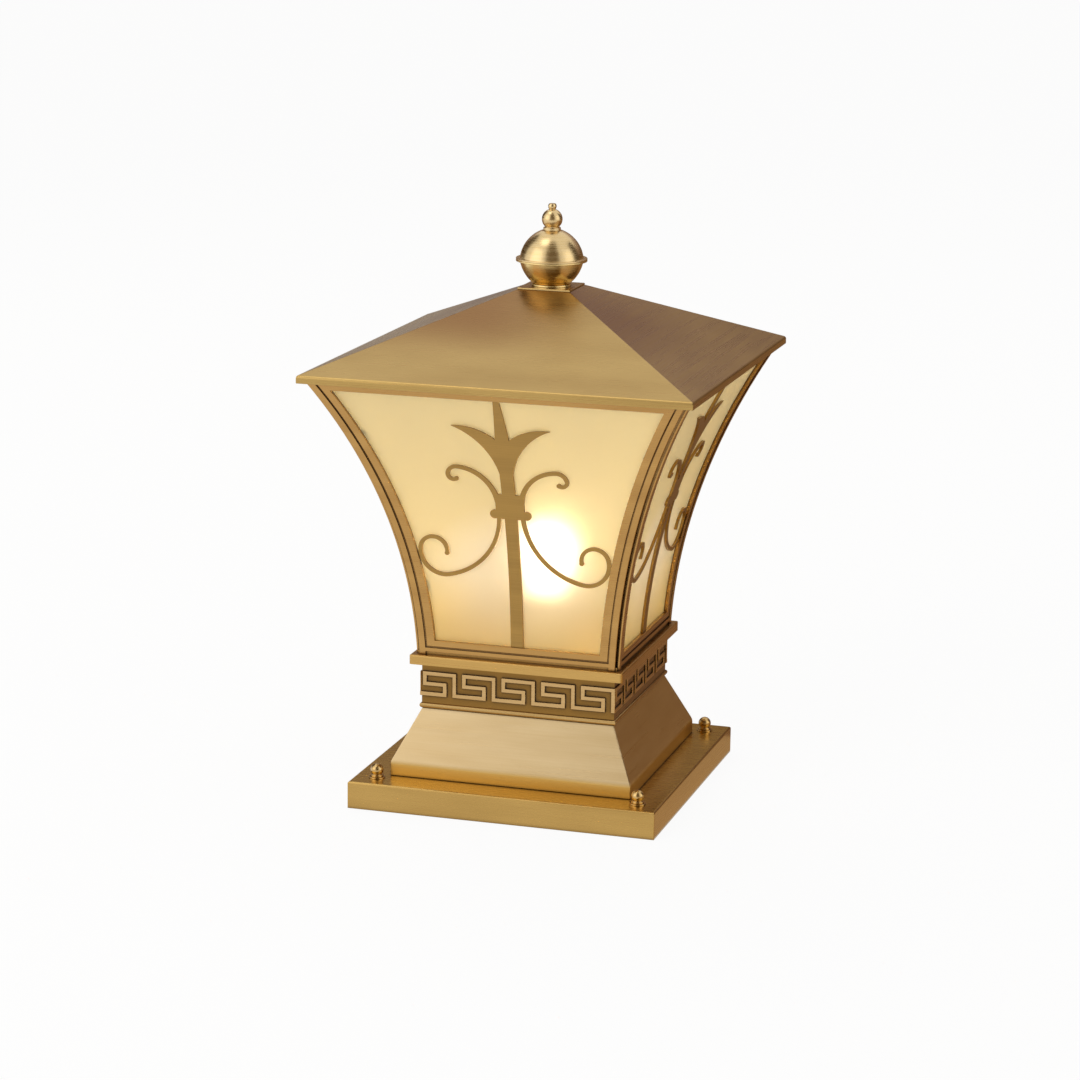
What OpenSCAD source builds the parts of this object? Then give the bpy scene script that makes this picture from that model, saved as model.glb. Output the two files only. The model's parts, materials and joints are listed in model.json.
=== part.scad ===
/* [Base tray] */
// Width of the square base tray
base_w = 240; // [210:1:300]
// Height of the base tray
base_h = 21; // [16:0.5:30]
// Thickness of the base tray's sheet
base_sheet = 1.5; // [1:0.1:2.5]
// Radius of the fold along the base tray's top edges
base_fold_r = 1.6; // [1.6:0.1:3]
// Radius of the wiring hole in the base tray's top
base_hole_r = 60; // [30:1:70]

/* [Mounting plate] */
// Gap between the mounting plate and the base tray's sides
plate_side_gap = 4.5; // [2:0.5:8]
// Thickness of the mounting plate
plate_t = 3; // [2:0.5:5]
// Corner radius of the mounting plate
plate_corner_r = 8; // [3:1:15]
// Distance between the pillar bolts, both ways
fixing_pitch = 160; // [120:1:180]
// Radius of the holes for the pillar bolts
fixing_hole_r = 4.5; // [3:0.1:6]
// Radius of the cable bush's bore
bush_bore_r = 8; // [5:0.5:10]
// Wall of the cable bush
bush_wall = 3; // [2:0.5:5]
// How far the cable bush's flange reaches past its barrel
bush_flange_w = 3; // [2:0.5:6]
// Thickness of the cable bush's flange
bush_flange_t = 2; // [1:0.5:4]

/* [Terminals] */
// Length of the terminal block
terminal_l = 34; // [30:1:50]
// Depth of the terminal block
terminal_d = 20; // [16:1:26]
// Height of the terminal block
terminal_h = 14; // [10:0.5:15]
// Number of poles in the terminal block
terminal_poles = 3; // [2:1:3]
// Radius of a pole's screw hole
terminal_screw_r = 2.2; // [1.5:0.1:3]
// Radius of a pole's wire hole
terminal_wire_r = 2; // [1.5:0.1:2.5]
// Height of the wire holes above the mounting plate
terminal_wire_z = 4.7; // [3.5:0.1:6]
// Distance of the terminal block from the middle of the base
terminal_y = 45; // [35:1:60]
// Radius of the earth screw's shank
earth_r = 2; // [1.5:0.1:3]
// Height of the earth screw above the plate
earth_h = 9; // [6:0.5:12]
// Radius of the earth screw's nut
earth_nut_r = 4; // [3.5:0.1:5]
// Height of the earth screw's nut
earth_nut_h = 3; // [2:0.1:4]

/* [Anchors] */
// Distance of each anchor from the edges of the base tray
anchor_inset = 17.5; // [14:0.5:22]
// Radius of the anchor studs
stud_r = 2.5; // [2:0.1:3]
// Radius of the collar that stops a stud on the plate
stud_collar_r = 4.5; // [4:0.1:6]
// Height of that collar
stud_collar_h = 2; // [1:0.5:4]
// Radius of an anchor washer
washer_r = 6; // [5:0.1:8]
// Thickness of an anchor washer
washer_t = 1; // [0.5:0.1:2]
// Radius of a ball nut's foot
nut_foot_r = 4.8; // [4.2:0.1:6]
// Height of a ball nut's foot
nut_foot_h = 1.5; // [1:0.1:3]
// Radius of a ball nut's neck
nut_neck_r = 3.9; // [3.5:0.1:4.2]
// Height of a ball nut's neck
nut_neck_h = 0.6; // [0.5:0.1:2]
// Radius of a ball nut's ball
nut_ball_r = 4.9; // [4.6:0.1:6]
// Depth of a ball nut's thread
nut_bore_h = 7; // [6:0.5:8]
// Air left over the stud's end in a ball nut
nut_end_gap = 1; // [0.5:0.1:1.5]

/* [Skirt] */
// Distance from the base tray's edge to the skirt's foot
skirt_inset = 25.5; // [24:0.1:35]
// Width of the skirt at its top
skirt_top_w = 151; // [143:1:162]
// Height of the skirt
skirt_h = 50.5; // [35:0.5:70]
// Height of the skirt's upright foot band
skirt_band_h = 10.9; // [6:0.1:16]
// Radius of the fold between the foot band and the slope
skirt_fold_r = 9; // [3:0.5:15]
// Thickness of the skirt's sheet
skirt_sheet = 1.5; // [1:0.1:2.5]
// Radius of the hole in the skirt's top
skirt_hole_r = 60; // [30:1:62]

/* [Key band] */
// Height of the neck between the skirt and the ledge
band_h = 35.5; // [30:0.5:50]
// How far the neck's faces stand outside the skirt's top edge
neck_overhang = 1.5; // [0:0.1:2]
// Thickness of the key strips behind their pattern
key_plate_t = 3; // [2:0.1:5]
// Height of the pattern's relief
key_relief = 1.2; // [0.5:0.1:2]
// Width of the pattern's line
key_line = 3.1; // [2:0.1:4]
// Number of units of the pattern on each side
key_units = 5; // [4:1:5]
// Length of the first unit that the strip's end cuts off
key_cut = 3.9; // [0:0.1:4.4]
// Height of the pattern from line centre to line centre
key_rise = 16; // [12:0.5:18]
// Height of the plain field above the pattern
key_top_gap = 6.5; // [3:0.1:9]
// Distance from the pattern's last upright to the strip's end
key_end = 1.9; // [1.6:0.1:5]
// How far along its unit the pattern's inner hook begins
key_hook = 0.245; // [0.2:0.005:0.3]
// How far along its unit the pattern's inner upright stands
key_inner = 0.755; // [0.7:0.005:0.8]
// Height of the bead round the foot of the neck
bead_h = 4.4; // [3:0.1:6]
// How far the bead stands out past the pattern
bead_proud = 0.3; // [0:0.1:1]

/* [Ledge] */
// How far the ledge reaches past the neck
ledge_overhang = 6.7; // [5:0.1:12]
// Height of the ledge's folded edge
ledge_h = 7.5; // [5:0.5:12]
// Thickness of the ledge's sheet
ledge_sheet = 1.5; // [1:0.1:2.5]
// Radius of the ledge's top fold
ledge_fold_r = 1.6; // [1.6:0.1:3]
// Corner radius of the ledge in plan
ledge_corner_r = 2; // [1:0.5:5]

/* [Lantern] */
// Height of the lantern from the ledge to the roof
lantern_h = 215.3; // [180:1:240]
// How far the lantern's curve, where it stands upright, lies outside the neck
lantern_offset = 2.1; // [0.5:0.1:4]
// Radius of the curve of the lantern's sides
flare_r = 461; // [430:1:600]
// How far below the ledge the curve stands upright
flare_drop = 21.6; // [15:0.1:30]
// Thickness of the ring under the lantern
ring_t = 2.5; // [1.5:0.1:4]
// Width of the ring under the lantern
ring_w = 18; // [16:0.5:24]
// How far the frames' outer strips stand out
strip_proud = 1.6; // [1:0.1:2.5]
// Width of the frames' outer strips
strip_w = 5; // [3:0.1:7]
// Distance from the lantern's corner to the outer strips
strip_notch = 2.9; // [2.5:0.1:4]
// Distance from the lantern's corner to the frames' plates
frame_notch = 5; // [4.9:0.1:6]
// Width of the groove beside the outer strips
groove_w = 1.2; // [0.5:0.1:2]
// Thickness of the frames' plates
frame_t = 2.5; // [1.5:0.1:3]
// How far the inner stiles stand out of the groove
stile_proud = 0.8; // [0.3:0.1:1.2]
// Width of the inner stiles
stile_w = 6.4; // [5:0.1:9]
// Height of the bar along the foot of each frame
foot_bar_h = 3; // [2:0.1:5]
// Height of the inner rail along the foot of each frame
foot_rail_h = 4.6; // [3:0.1:8]
// Height of the top rail
top_rail_h = 5.3; // [4:0.1:10]
// Thickness of a corner post's sheet
post_t = 2; // [1:0.1:3]
// Distance from the lantern's corner to the inner edge of a post
post_reach = 11.5; // [10.6:0.1:12]
// Thickness of the panes
pane_t = 3; // [2.2:0.1:4]
// Gap between a pane's edge and the corner post
pane_gap = 0.8; // [0.4:0.1:1]
// Thickness of the pane clips
clip_t = 1; // [0.5:0.1:1.5]
// Height of a pane clip
clip_h = 8; // [5:0.5:12]
// How far a clip reaches over its pane
clip_reach = 5; // [3:0.5:7]
// Place of the lower clips, as a share of the lantern's height
clip_low = 0.22; // [0.1:0.01:0.4]
// Place of the upper clips, as a share of the lantern's height
clip_high = 0.78; // [0.6:0.01:0.85]

/* [Ornament] */
// Thickness of the cut ornament
ornament_t = 2; // [1:0.1:2.4]
// Half width of the window at the collar that the ornament is drawn for
ornament_room = 84; // [80:0.1:88]
// Width of the scrolls' line where it leaves the collar
scroll_w = 3.1; // [2.4:0.1:3.6]
// Width of an upper scroll at its root, where it grows out of the collar
scroll_root_w = 3.8; // [3.3:0.1:5]
// How much narrower the line gets from arc to arc
scroll_taper = 0.1; // [0.1:0.05:0.4]
// Radius of the bead at a scroll's end
scroll_end_r = 1.75; // [1.2:0.05:2.5]
// Half width of the lower stem
stem_half = 4.8; // [3:0.1:6]
// Height of the collar's foot above the ledge
collar_z = 114; // [100:1:125]
// Height of the collar
collar_h = 19.8; // [15:0.1:25]
// Half width of the collar
collar_half = 11; // [9:0.1:12]
// Half width of the collar's spread top
collar_top_half = 12.5; // [11:0.1:14]
// Height of the spread part of the collar
collar_spread_h = 7; // [4:0.1:10]
// Radius of the round knobs at the collar's foot
collar_knob_r = 3.5; // [2.5:0.1:5]
// How far outside the collar the knobs' middles lie
collar_knob_out = 1.4; // [0.5:0.1:2.5]
// Half width of the neck over the collar
neck_half = 5.2; // [4:0.1:7]
// Half width of the spear where the top rail cuts it
spear_half = 2.2; // [1.5:0.1:3]
// Height of the spear's widest place above the ledge
spear_z = 179; // [170:1:184]
// How far below the spear's widest place the leaves grow out
leaf_foot_drop = 30.3; // [28:0.1:33]
// Radius of the leaves' upper edge
leaf_upper_r = 45.4; // [44:0.1:47]
// Distance of the middle of that edge from the ornament's middle line
leaf_upper_x = 33.3; // [32:0.1:35]
// How far that middle lies below the spear's widest place
leaf_upper_drop = 36.3; // [35:0.1:38]
// Radius of the leaves' lower edge
leaf_lower_r = 52.2; // [51:0.1:53]
// Distance of the middle of that edge from the ornament's middle line
leaf_lower_x = 56.1; // [55:0.1:58]
// How far that middle lies below the spear's widest place
leaf_lower_drop = 40; // [39:0.1:41]
// Distance of a lower scroll's start from the middle line
lower_scroll_x = 9.2; // [8:0.1:9.4]
// Radius of a lower scroll's sweep
lower_sweep_r = 53.2; // [50:0.1:53.4]
// Radius of a lower scroll's bend
lower_bend_r = 17.9; // [15:0.1:18]
// Radius of a lower scroll's curl
lower_curl_r = 10.5; // [8:0.1:11]
// Heading of a lower scroll where it starts, and its turns along sweep, bend and curl, in degrees
lower_scroll_turns = [-86.2, 75, 113.8, 177.9];
// Distance of an upper scroll's start from the middle line
upper_scroll_x = 10.3; // [9:0.1:11]
// Radius of an upper scroll's sweep
upper_sweep_r = 30.8; // [27:0.1:32]
// Radius of an upper scroll's bend
upper_bend_r = 7.5; // [6.5:0.1:8]
// Radius of an upper scroll's curl
upper_curl_r = 4; // [3.5:0.1:5]
// Heading of an upper scroll where it starts, and its turns along sweep, bend and curl, in degrees
upper_scroll_turns = [70, 67.9, 78.2, 139.3];

/* [Top of the lantern] */
// Thickness of the ring at the lantern's top
top_ring_t = 3; // [2:0.5:5]
// Width of that ring
top_ring_w = 17; // [15:0.5:24]
// Width of the crossbar
crossbar_w = 25; // [18:1:40]
// Thickness of the crossbar
crossbar_t = 3; // [2:0.5:5]
// How far the crossbar reaches under the ring
crossbar_lap = 8; // [8:0.5:9]
// Radius of the roof rod
rod_r = 3; // [2.5:0.1:4]
// Width across flats of the roof rod's nuts
rod_nut_af = 10; // [9:0.5:13]
// Height of the roof rod's nuts
rod_nut_h = 5; // [3:0.5:7]
// Length of the rod below its lower nut
rod_tail = 3; // [1:0.5:6]

/* [Roof] */
// How far the eaves reach past the lantern's top
eave_overhang = 4.8; // [3:0.1:12]
// Height of the roof's folded fascia
fascia_h = 5.5; // [4:0.5:12]
// Height of the roof from the top of its fascia to the cap plate
roof_rise = 52.4; // [35:0.5:80]
// Width of the roof's flat top
roof_top_w = 41.5; // [38:0.5:60]
// Thickness of the roof's sheet
roof_sheet = 1.2; // [0.8:0.1:2]
// Radius of the fold at the eaves
eave_fold_r = 2.5; // [2:0.1:4]
// Width of the lip that rests on the lantern
lip_w = 15; // [12:0.5:16]
// Width of the square cap plate
cap_w = 41; // [33:1:58]
// Thickness of the cap plate
cap_t = 1.5; // [1:0.1:4]

/* [Finial] */
// Radius of the finial's foot
foot_r = 15; // [14:0.5:16]
// Height of the finial's foot
foot_h = 1.5; // [1:0.1:4]
// Outer radius of the finial's ball at its rim
ball_r = 24.2; // [22:0.1:26]
// Radius of the curve of the dome's side
dome_curve_r = 25.8; // [25:0.1:28]
// Radius of the curve of the bowl's side
bowl_curve_r = 28.3; // [27:0.1:32]
// How far below the rim the middle of the dome's curve lies
dome_curve_drop = 2; // [0:0.1:2.5]
// How far above the rim the middle of the bowl's curve lies
bowl_curve_rise = 4; // [2:0.1:5]
// Wall of the finial's spun halves
ball_wall = 1; // [0.8:0.1:1.5]
// How far the rim stands out of the ball
ball_rim_w = 2.8; // [1:0.1:5]
// Thickness of each half's rim
ball_rim_t = 1.2; // [1:0.1:2]
// Height of the ball's flat foot below its middle
ball_foot_drop = 18.2; // [17:0.1:19]
// Height of the ball's flat top above its middle
ball_top_rise = 22; // [20:0.1:22.5]
// Radius of the collar ring over the ball
ring_r = 6.6; // [5.8:0.1:9]
// Height of the collar ring
ring_h = 2.2; // [1:0.1:4]
// Radius of the knob's neck
knob_neck_r = 5.6; // [5:0.1:6.5]
// Height of the knob's neck
knob_neck_h = 0.8; // [0.5:0.1:3]
// Radius of the knob's ball
knob_r = 7.8; // [7:0.1:10]
// Radius of the tip's neck
tip_neck_r = 2.6; // [2:0.1:3.5]
// Height of the tip's neck
tip_neck_h = 0.4; // [0.2:0.1:3]
// Radius of the tip
tip_r = 3.2; // [2.8:0.1:5]
// Height of the tip's flat end above its widest place
tip_end_rise = 2.1; // [1.5:0.1:2.7]
// Depth of the knob's thread
knob_bore_h = 9.5; // [7:0.5:12]
// Air left over the rod's end in the knob
knob_end_gap = 1; // [0.5:0.1:2]

/* [Lamp] */
// Outer radius of the lamp nipple
nipple_r = 5; // [4:0.1:6]
// Bore radius of the lamp nipple
nipple_bore_r = 3.75; // [2.5:0.05:4]
// Length of the nipple inside the lamp holder
nipple_in_holder = 8; // [5:0.5:9]
// Length of the nipple below its nut
nipple_tail = 4; // [1:0.5:10]
// Width across flats of the nipple's nut
nipple_nut_af = 14; // [13:0.5:18]
// Height of the nipple's nut
nipple_nut_h = 4; // [3:0.5:6]
// Radius of the lamp holder's base
holder_r = 19.5; // [18:0.5:24]
// Height of the lamp holder's base
holder_base_h = 17; // [15:0.5:22]
// Depth of the contact well in the lamp holder's base
holder_well_h = 6; // [5:0.5:7]
// Height of the lamp holder's shell
holder_shell_h = 22; // [18:0.5:23]
// Radius of the top of the lamp holder's shell
holder_top_r = 17; // [15.5:0.5:19]
// Thickness of the holder's centre contact
contact_t = 0.8; // [0.5:0.1:1.2]
// Radius of the holder's centre contact
contact_r = 5.5; // [5:0.1:7]
// Radius of the bulb's screw cap
bulb_cap_r = 13.1; // [12:0.1:14]
// Height of the bulb's screw cap
bulb_cap_h = 24; // [20:0.5:27]
// Height of the bulb's contact button
bulb_button_h = 1; // [0.5:0.1:2]
// Radius of the bulb's contact button
bulb_button_r = 4.5; // [3:0.1:5]
// Height of the slope at the foot of the bulb's screw cap
bulb_slope_h = 4.4; // [3:0.1:6]
// Radius of the bulb's globe
globe_r = 22.5; // [20:0.5:30]
// Height of the globe's middle above the screw cap
globe_rise = 32; // [30:0.5:45]
// Wall of the globe
globe_wall = 1; // [0.5:0.1:2]
// How far the globe's neck reaches into the screw cap
globe_in_cap = 4; // [2:0.5:8]
// How far below the level the neck meets the globe's round part, in degrees
globe_neck_angle = 35; // [30:1:50]

/* [Fits] */
// Radial clearance of a threaded pair that turns
thread_gap = 0.06; // [0.02:0.01:0.1]
// Radial clearance of a screw or stud in a plain hole
hole_gap = 0.25; // [0.15:0.05:0.5]
// Radial gap round the bulb's cap in its holder
cap_gap = 0.3; // [0.2:0.05:0.6]
// Radius of the small screws
screw_r = 2; // [1.5:0.1:2.5]
// Head radius of the small screws
screw_head_r = 3.5; // [3:0.1:4]
// Head height of the small screws
screw_head_h = 2.4; // [1.5:0.1:3]

/* [Hidden] */
SIDES = ["front", "right", "back", "left"];
$fn = 96;

// Room that a cutting solid runs past the faces it cuts
over = 1;
// Size of the blank that the lantern's and the roof's outlines are cut from
blank = 4 * base_w;
// Length by which each arc of a scroll begins inside the one before
scroll_lap = 0.8;
// From a line's heading to the radius of its arc, in degrees
right_angle = 90;
// Segments of the lantern's large arcs
flare_fn = 360;

// Heights, from the ground up
skirt_z = base_h;
neck_z = skirt_z + skirt_h;
ledge_z = neck_z + band_h;
lantern_z = ledge_z + ledge_h;
ledge_under = lantern_z - ledge_sheet;
frame_z = lantern_z + ring_t;
roof_z = lantern_z + lantern_h;
fascia_z = roof_z + fascia_h;
cap_z = fascia_z + roof_rise;
foot_z = cap_z + cap_t;
ball_z = foot_z + foot_h + ball_foot_drop;
ring_z = ball_z + ball_top_rise;
knob_z = ring_z + ring_h;
knob_ball_z = knob_z + knob_neck_h + sqrt(knob_r * knob_r - knob_neck_r * knob_neck_r);
top_ring_z = roof_z - top_ring_t;
crossbar_z = top_ring_z - crossbar_t;

// Heights of the lamp
contact_z = lantern_z + holder_base_h - holder_well_h;
bulb_z = contact_z + contact_t;
bulb_cap_z = bulb_z + bulb_button_h;
globe_z = bulb_cap_z + bulb_cap_h + globe_rise;

// Half width of the key band
band_half = skirt_top_w / 2 + neck_overhang;
// Length of one unit of the key pattern
key_pitch = (2 * band_half - key_end + key_cut) / key_units;

// The lantern's curve
flare_z = lantern_z - flare_drop;
flare_half = band_half + lantern_offset;
window_z = frame_z + foot_bar_h + groove_w + foot_rail_h;
window_top = roof_z - top_rail_h;
frame_back = strip_proud + frame_t;
window_in = strip_notch + strip_w + groove_w + stile_w;

// Half the distance between the anchors
anchor_half = base_w / 2 - anchor_inset;
// Half width of the ledge
ledge_half = band_half + ledge_overhang;
// Half width of the roof's eaves
eave = flare(roof_z) + eave_overhang;
// Half width of the opening in the top ring
ring_open = flare(top_ring_z) - frame_back / cos(lean(top_ring_z)) - top_ring_w;
// Half width of the ring under the lantern, and the places of its screws
ring_outer = flare(frame_z) - strip_proud;
screw_place = min(ring_outer - ring_w / 2, band_half - key_relief - key_plate_t - screw_head_r - over);
// Top of the studs inside the ball nuts
stud_top = base_h + washer_t + nut_bore_h - nut_end_gap;
// The scrolls fill the window whatever its width
ornament_scale = (flare(lantern_z + collar_z) - window_in) / ornament_room;

// Half width of the lantern at a height, and how far its side leans there
function flare(z) = flare_half + flare_r - sqrt(flare_r * flare_r - (z - flare_z) * (z - flare_z));
function lean(z) = asin((z - flare_z) / flare_r);

// Outline to solid: along_y keeps the outline in X and Z, and along_x in Y and Z
module along_y() {
    rotate([90, 0, 0])
        linear_extrude(height = blank, center = true)
            children();
}
module along_x() {
    rotate([90, 0, 90])
        linear_extrude(height = blank, center = true)
            children();
}
// A square, mitred body that shows the same outline on all four sides
module four_sided() {
    intersection() {
        along_y() children();
        along_x() children();
    }
}
module quarter(turn) {
    rotate([0, 0, 90 * turn])
        children();
}
module tube(r, bore, z, h) {
    difference() {
        translate([0, 0, z])
            cylinder(r = r, h = h);
        translate([0, 0, z - over])
            cylinder(r = bore, h = h + 2 * over);
    }
}
module hex(af, z, h, bore) {
    difference() {
        translate([0, 0, z])
            cylinder(r = af / 2 / cos(30), h = h, $fn = 6);
        translate([0, 0, z - over])
            cylinder(r = bore, h = h + 2 * over);
    }
}
module hole(r, z, h) {
    translate([0, 0, z - over])
        cylinder(r = r, h = h + 2 * over);
}
// A screw with its head below (way = -1) or above (way = 1) the given height
module small_screw(z, length, way) {
    translate([0, 0, way > 0 ? z - length : z])
        cylinder(r = screw_r, h = length);
    translate([0, 0, way > 0 ? z : z - screw_head_h])
        cylinder(r = screw_head_r, h = screw_head_h);
}
// Outline of an upright foot, a rounded fold and a straight slope
module folded_outline(foot, top, z0, fold_z, z1, r) {
    lean = atan2(foot - top, z1 - fold_z);
    bend_z = fold_z - r * tan(lean / 2);
    bend_x = foot - r + r * cos(lean);
    intersection() {
        translate([-foot, z0])
            square([2 * foot, z1 - z0]);
        union() {
            polygon([
                [-foot, z0], [foot, z0], [foot, bend_z], [bend_x, bend_z + r * sin(lean)],
                [top, z1], [-top, z1], [-bend_x, bend_z + r * sin(lean)], [-foot, bend_z]
            ]);
            for (s = [-1, 1])
                translate([s * (foot - r), bend_z])
                    circle(r = r);
        }
    }
}
// A folded sheet body with its top closed and its foot open
module folded_shell(foot, top, z0, fold_z, z1, r, sheet) {
    lean = atan2(foot - top, z1 - fold_z);
    difference() {
        four_sided() folded_outline(foot, top, z0, fold_z, z1, r);
        four_sided()
            folded_outline(
                foot - sheet,
                top + sheet * tan(lean) - sheet / cos(lean),
                z0 - over,
                fold_z - sheet * tan(lean / 2),
                z1 - sheet,
                r - sheet
            );
    }
}
// A square sheet pan, open below, with its top edges rounded
module pan_outline(half, z0, z1, r) {
    translate([-half, z0])
        square([2 * half, z1 - z0 - r]);
    translate([-half + r, z0])
        square([2 * (half - r), z1 - z0]);
    for (s = [-1, 1])
        translate([s * (half - r), z1 - r])
            circle(r = r);
}
module pan(half, z0, z1, r, sheet) {
    difference() {
        four_sided() pan_outline(half, z0, z1, r);
        translate([-half + sheet, -half + sheet, z0 - over])
            cube([2 * (half - sheet), 2 * (half - sheet), z1 - z0 - sheet + over]);
    }
}
module rounded_square(half, r) {
    square([2 * half, 2 * (half - r)], center = true);
    square([2 * (half - r), 2 * half], center = true);
    for (x = [-1, 1], y = [-1, 1])
        translate([x * (half - r), y * (half - r)])
            circle(r = r);
}

// Outline inside the flared curve: depth is measured square to the curve, side straight across
module flare_outline(depth, side, z0, z1) {
    difference() {
        translate([-blank / 4, z0])
            square([blank / 2, z1 - z0]);
        for (s = [-1, 1])
            translate([s * (flare_half + flare_r - side), flare_z])
                circle(r = flare_r + depth, $fn = flare_fn);
    }
}
// The front wall of the flared body between two depths
module front_wall(depth0, depth1, z0, z1) {
    along_x()
        intersection() {
            translate([-blank / 2, z0])
                square([blank / 2, z1 - z0]);
            difference() {
                flare_outline(depth0, 0, z0, z1);
                flare_outline(depth1, 0, z0 - over, z1 + over);
            }
        }
}
module front_piece(depth0, depth1, z0, z1) {
    intersection() {
        front_wall(depth0, depth1, z0, z1);
        along_y() children();
    }
}

module at_anchors() {
    for (x = [-1, 1], y = [-1, 1])
        translate([x * anchor_half, y * anchor_half, 0])
            children();
}
// Corners in the order front left, front right, back right, back left
module at_corner(k) {
    x = (k == 1 || k == 2) ? 1 : -1;
    y = k > 1 ? 1 : -1;
    translate([x * anchor_half, y * anchor_half, 0])
        children();
}

module mounting_plate() {
    plate_half = base_w / 2 - base_sheet - plate_side_gap;
    color("silver")
        difference() {
            linear_extrude(height = plate_t)
                rounded_square(plate_half, plate_corner_r);
            at_anchors() hole(stud_r, 0, plate_t);
            for (x = [-1, 1], y = [-1, 1])
                translate([x * fixing_pitch / 2, y * fixing_pitch / 2, 0])
                    hole(fixing_hole_r, 0, plate_t);
            hole(bush_bore_r + bush_wall, 0, plate_t);
            translate([0, -terminal_y, 0])
                hole(earth_r, 0, plate_t);
        }
}
module anchor_studs() {
    color("silver")
        at_anchors() {
            cylinder(r = stud_r, h = stud_top);
            translate([0, 0, plate_t])
                cylinder(r = stud_collar_r, h = stud_collar_h);
        }
}
module cable_bush() {
    color("dimgray")
        difference() {
            union() {
                cylinder(r = bush_bore_r + bush_wall, h = plate_t);
                translate([0, 0, plate_t])
                    cylinder(r = bush_bore_r + bush_wall + bush_flange_w, h = bush_flange_t);
            }
            hole(bush_bore_r, 0, plate_t + bush_flange_t);
        }
}
module terminal_block() {
    pole = terminal_l / terminal_poles;
    color("ivory")
        translate([0, terminal_y, plate_t])
            difference() {
                translate([-terminal_l / 2, -terminal_d / 2, 0])
                    cube([terminal_l, terminal_d, terminal_h]);
                for (k = [0 : terminal_poles - 1])
                    translate([(k + 0.5) * pole - terminal_l / 2, 0, 0]) {
                        for (y = [-1, 1])
                            translate([0, y * terminal_d / 4, terminal_h / 2])
                                cylinder(r = terminal_screw_r, h = terminal_h);
                        translate([0, 0, terminal_wire_z])
                            rotate([90, 0, 0])
                                cylinder(r = terminal_wire_r, h = terminal_d + 2 * over, center = true);
                    }
            }
}
module earth_screw() {
    color("gold")
        translate([0, -terminal_y, 0]) {
            cylinder(r = earth_r, h = plate_t + earth_h);
            translate([0, 0, plate_t])
                cylinder(r = earth_nut_r, h = earth_nut_h);
        }
}
module base_tray() {
    color("darkgoldenrod")
        difference() {
            pan(base_w / 2, 0, base_h, base_fold_r, base_sheet);
            at_anchors() hole(stud_r + hole_gap, base_h - base_sheet, base_sheet);
            hole(base_hole_r, base_h - base_sheet, base_sheet);
        }
}
module anchor_washer(k) {
    color("goldenrod")
        at_corner(k)
            tube(washer_r, stud_r + hole_gap, base_h, washer_t);
}
module anchor_nut(k) {
    nut_z = base_h + washer_t;
    neck_z0 = nut_z + nut_foot_h;
    ball_z0 = neck_z0 + nut_neck_h + sqrt(nut_ball_r * nut_ball_r - nut_neck_r * nut_neck_r);
    color("goldenrod")
        at_corner(k)
            difference() {
                union() {
                    translate([0, 0, nut_z])
                        cylinder(r = nut_foot_r, h = nut_foot_h);
                    translate([0, 0, neck_z0])
                        cylinder(r = nut_neck_r, h = ball_z0 - neck_z0);
                    translate([0, 0, ball_z0])
                        sphere(r = nut_ball_r);
                }
                translate([0, 0, nut_z - over])
                    cylinder(r = stud_r + thread_gap, h = nut_bore_h + over);
            }
}
module plinth_skirt() {
    color("burlywood")
        difference() {
            folded_shell(
                base_w / 2 - skirt_inset, skirt_top_w / 2, skirt_z, skirt_z + skirt_band_h, neck_z,
                skirt_fold_r, skirt_sheet
            );
            hole(skirt_hole_r, neck_z - skirt_sheet, skirt_sheet);
        }
}

// One unit of the key pattern: out, up, back, up, out and down again
module key_unit() {
    key_bar(0, key_inner * key_pitch, 0, 0);
    key_bar(key_inner * key_pitch, key_inner * key_pitch, 0, key_rise / 2);
    key_bar(key_hook * key_pitch, key_inner * key_pitch, key_rise / 2, key_rise / 2);
    key_bar(key_hook * key_pitch, key_hook * key_pitch, key_rise / 2, key_rise);
    key_bar(key_hook * key_pitch, key_pitch, key_rise, key_rise);
    key_bar(key_pitch, key_pitch, 0, key_rise);
}
module key_bar(x0, x1, z0, z1) {
    translate([x0 - key_line / 2, z0 - key_line / 2])
        square([x1 - x0 + key_line, z1 - z0 + key_line]);
}
module key_pattern() {
    intersection() {
        translate([-band_half, 0])
            square([2 * band_half, ledge_under]);
        translate([-band_half - key_cut, ledge_z - key_top_gap - key_line / 2 - key_rise])
            for (k = [0 : key_units - 1])
                translate([k * key_pitch, 0])
                    key_unit();
    }
}
module key_strip(k) {
    field = band_half - key_relief;
    color("peru")
        quarter(k)
            intersection() {
                linear_extrude(height = lantern_z)
                    polygon([[0, 0], [-band_half, -band_half], [band_half, -band_half]]);
                union() {
                    translate([-band_half, -field, neck_z])
                        cube([2 * band_half, key_plate_t, ledge_under - neck_z]);
                    translate([0, -field, 0])
                        rotate([90, 0, 0])
                            linear_extrude(height = key_relief)
                                key_pattern();
                }
            }
}
module neck_bead() {
    inner = band_half - key_relief;
    r = bead_h / 2;
    centre = band_half + bead_proud - r;
    color("goldenrod")
        difference() {
            four_sided() {
                translate([-centre, neck_z])
                    square([2 * centre, bead_h]);
                for (s = [-1, 1])
                    translate([s * centre, neck_z + r])
                        circle(r = r);
            }
            translate([-inner, -inner, neck_z - over])
                cube([2 * inner, 2 * inner, bead_h + 2 * over]);
        }
}
module at_ring_screws() {
    for (k = [0 : 3])
        quarter(k)
            translate([screw_place, 0, 0])
                children();
}
module ledge_plate() {
    color("goldenrod")
        difference() {
            intersection() {
                pan(ledge_half, ledge_z, lantern_z, ledge_fold_r, ledge_sheet);
                translate([0, 0, ledge_z])
                    linear_extrude(height = ledge_h)
                        rounded_square(ledge_half, ledge_corner_r);
            }
            hole(nipple_r + hole_gap, ledge_under, ledge_sheet);
            at_ring_screws() hole(screw_r + hole_gap, ledge_under, ledge_sheet);
        }
}
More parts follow.
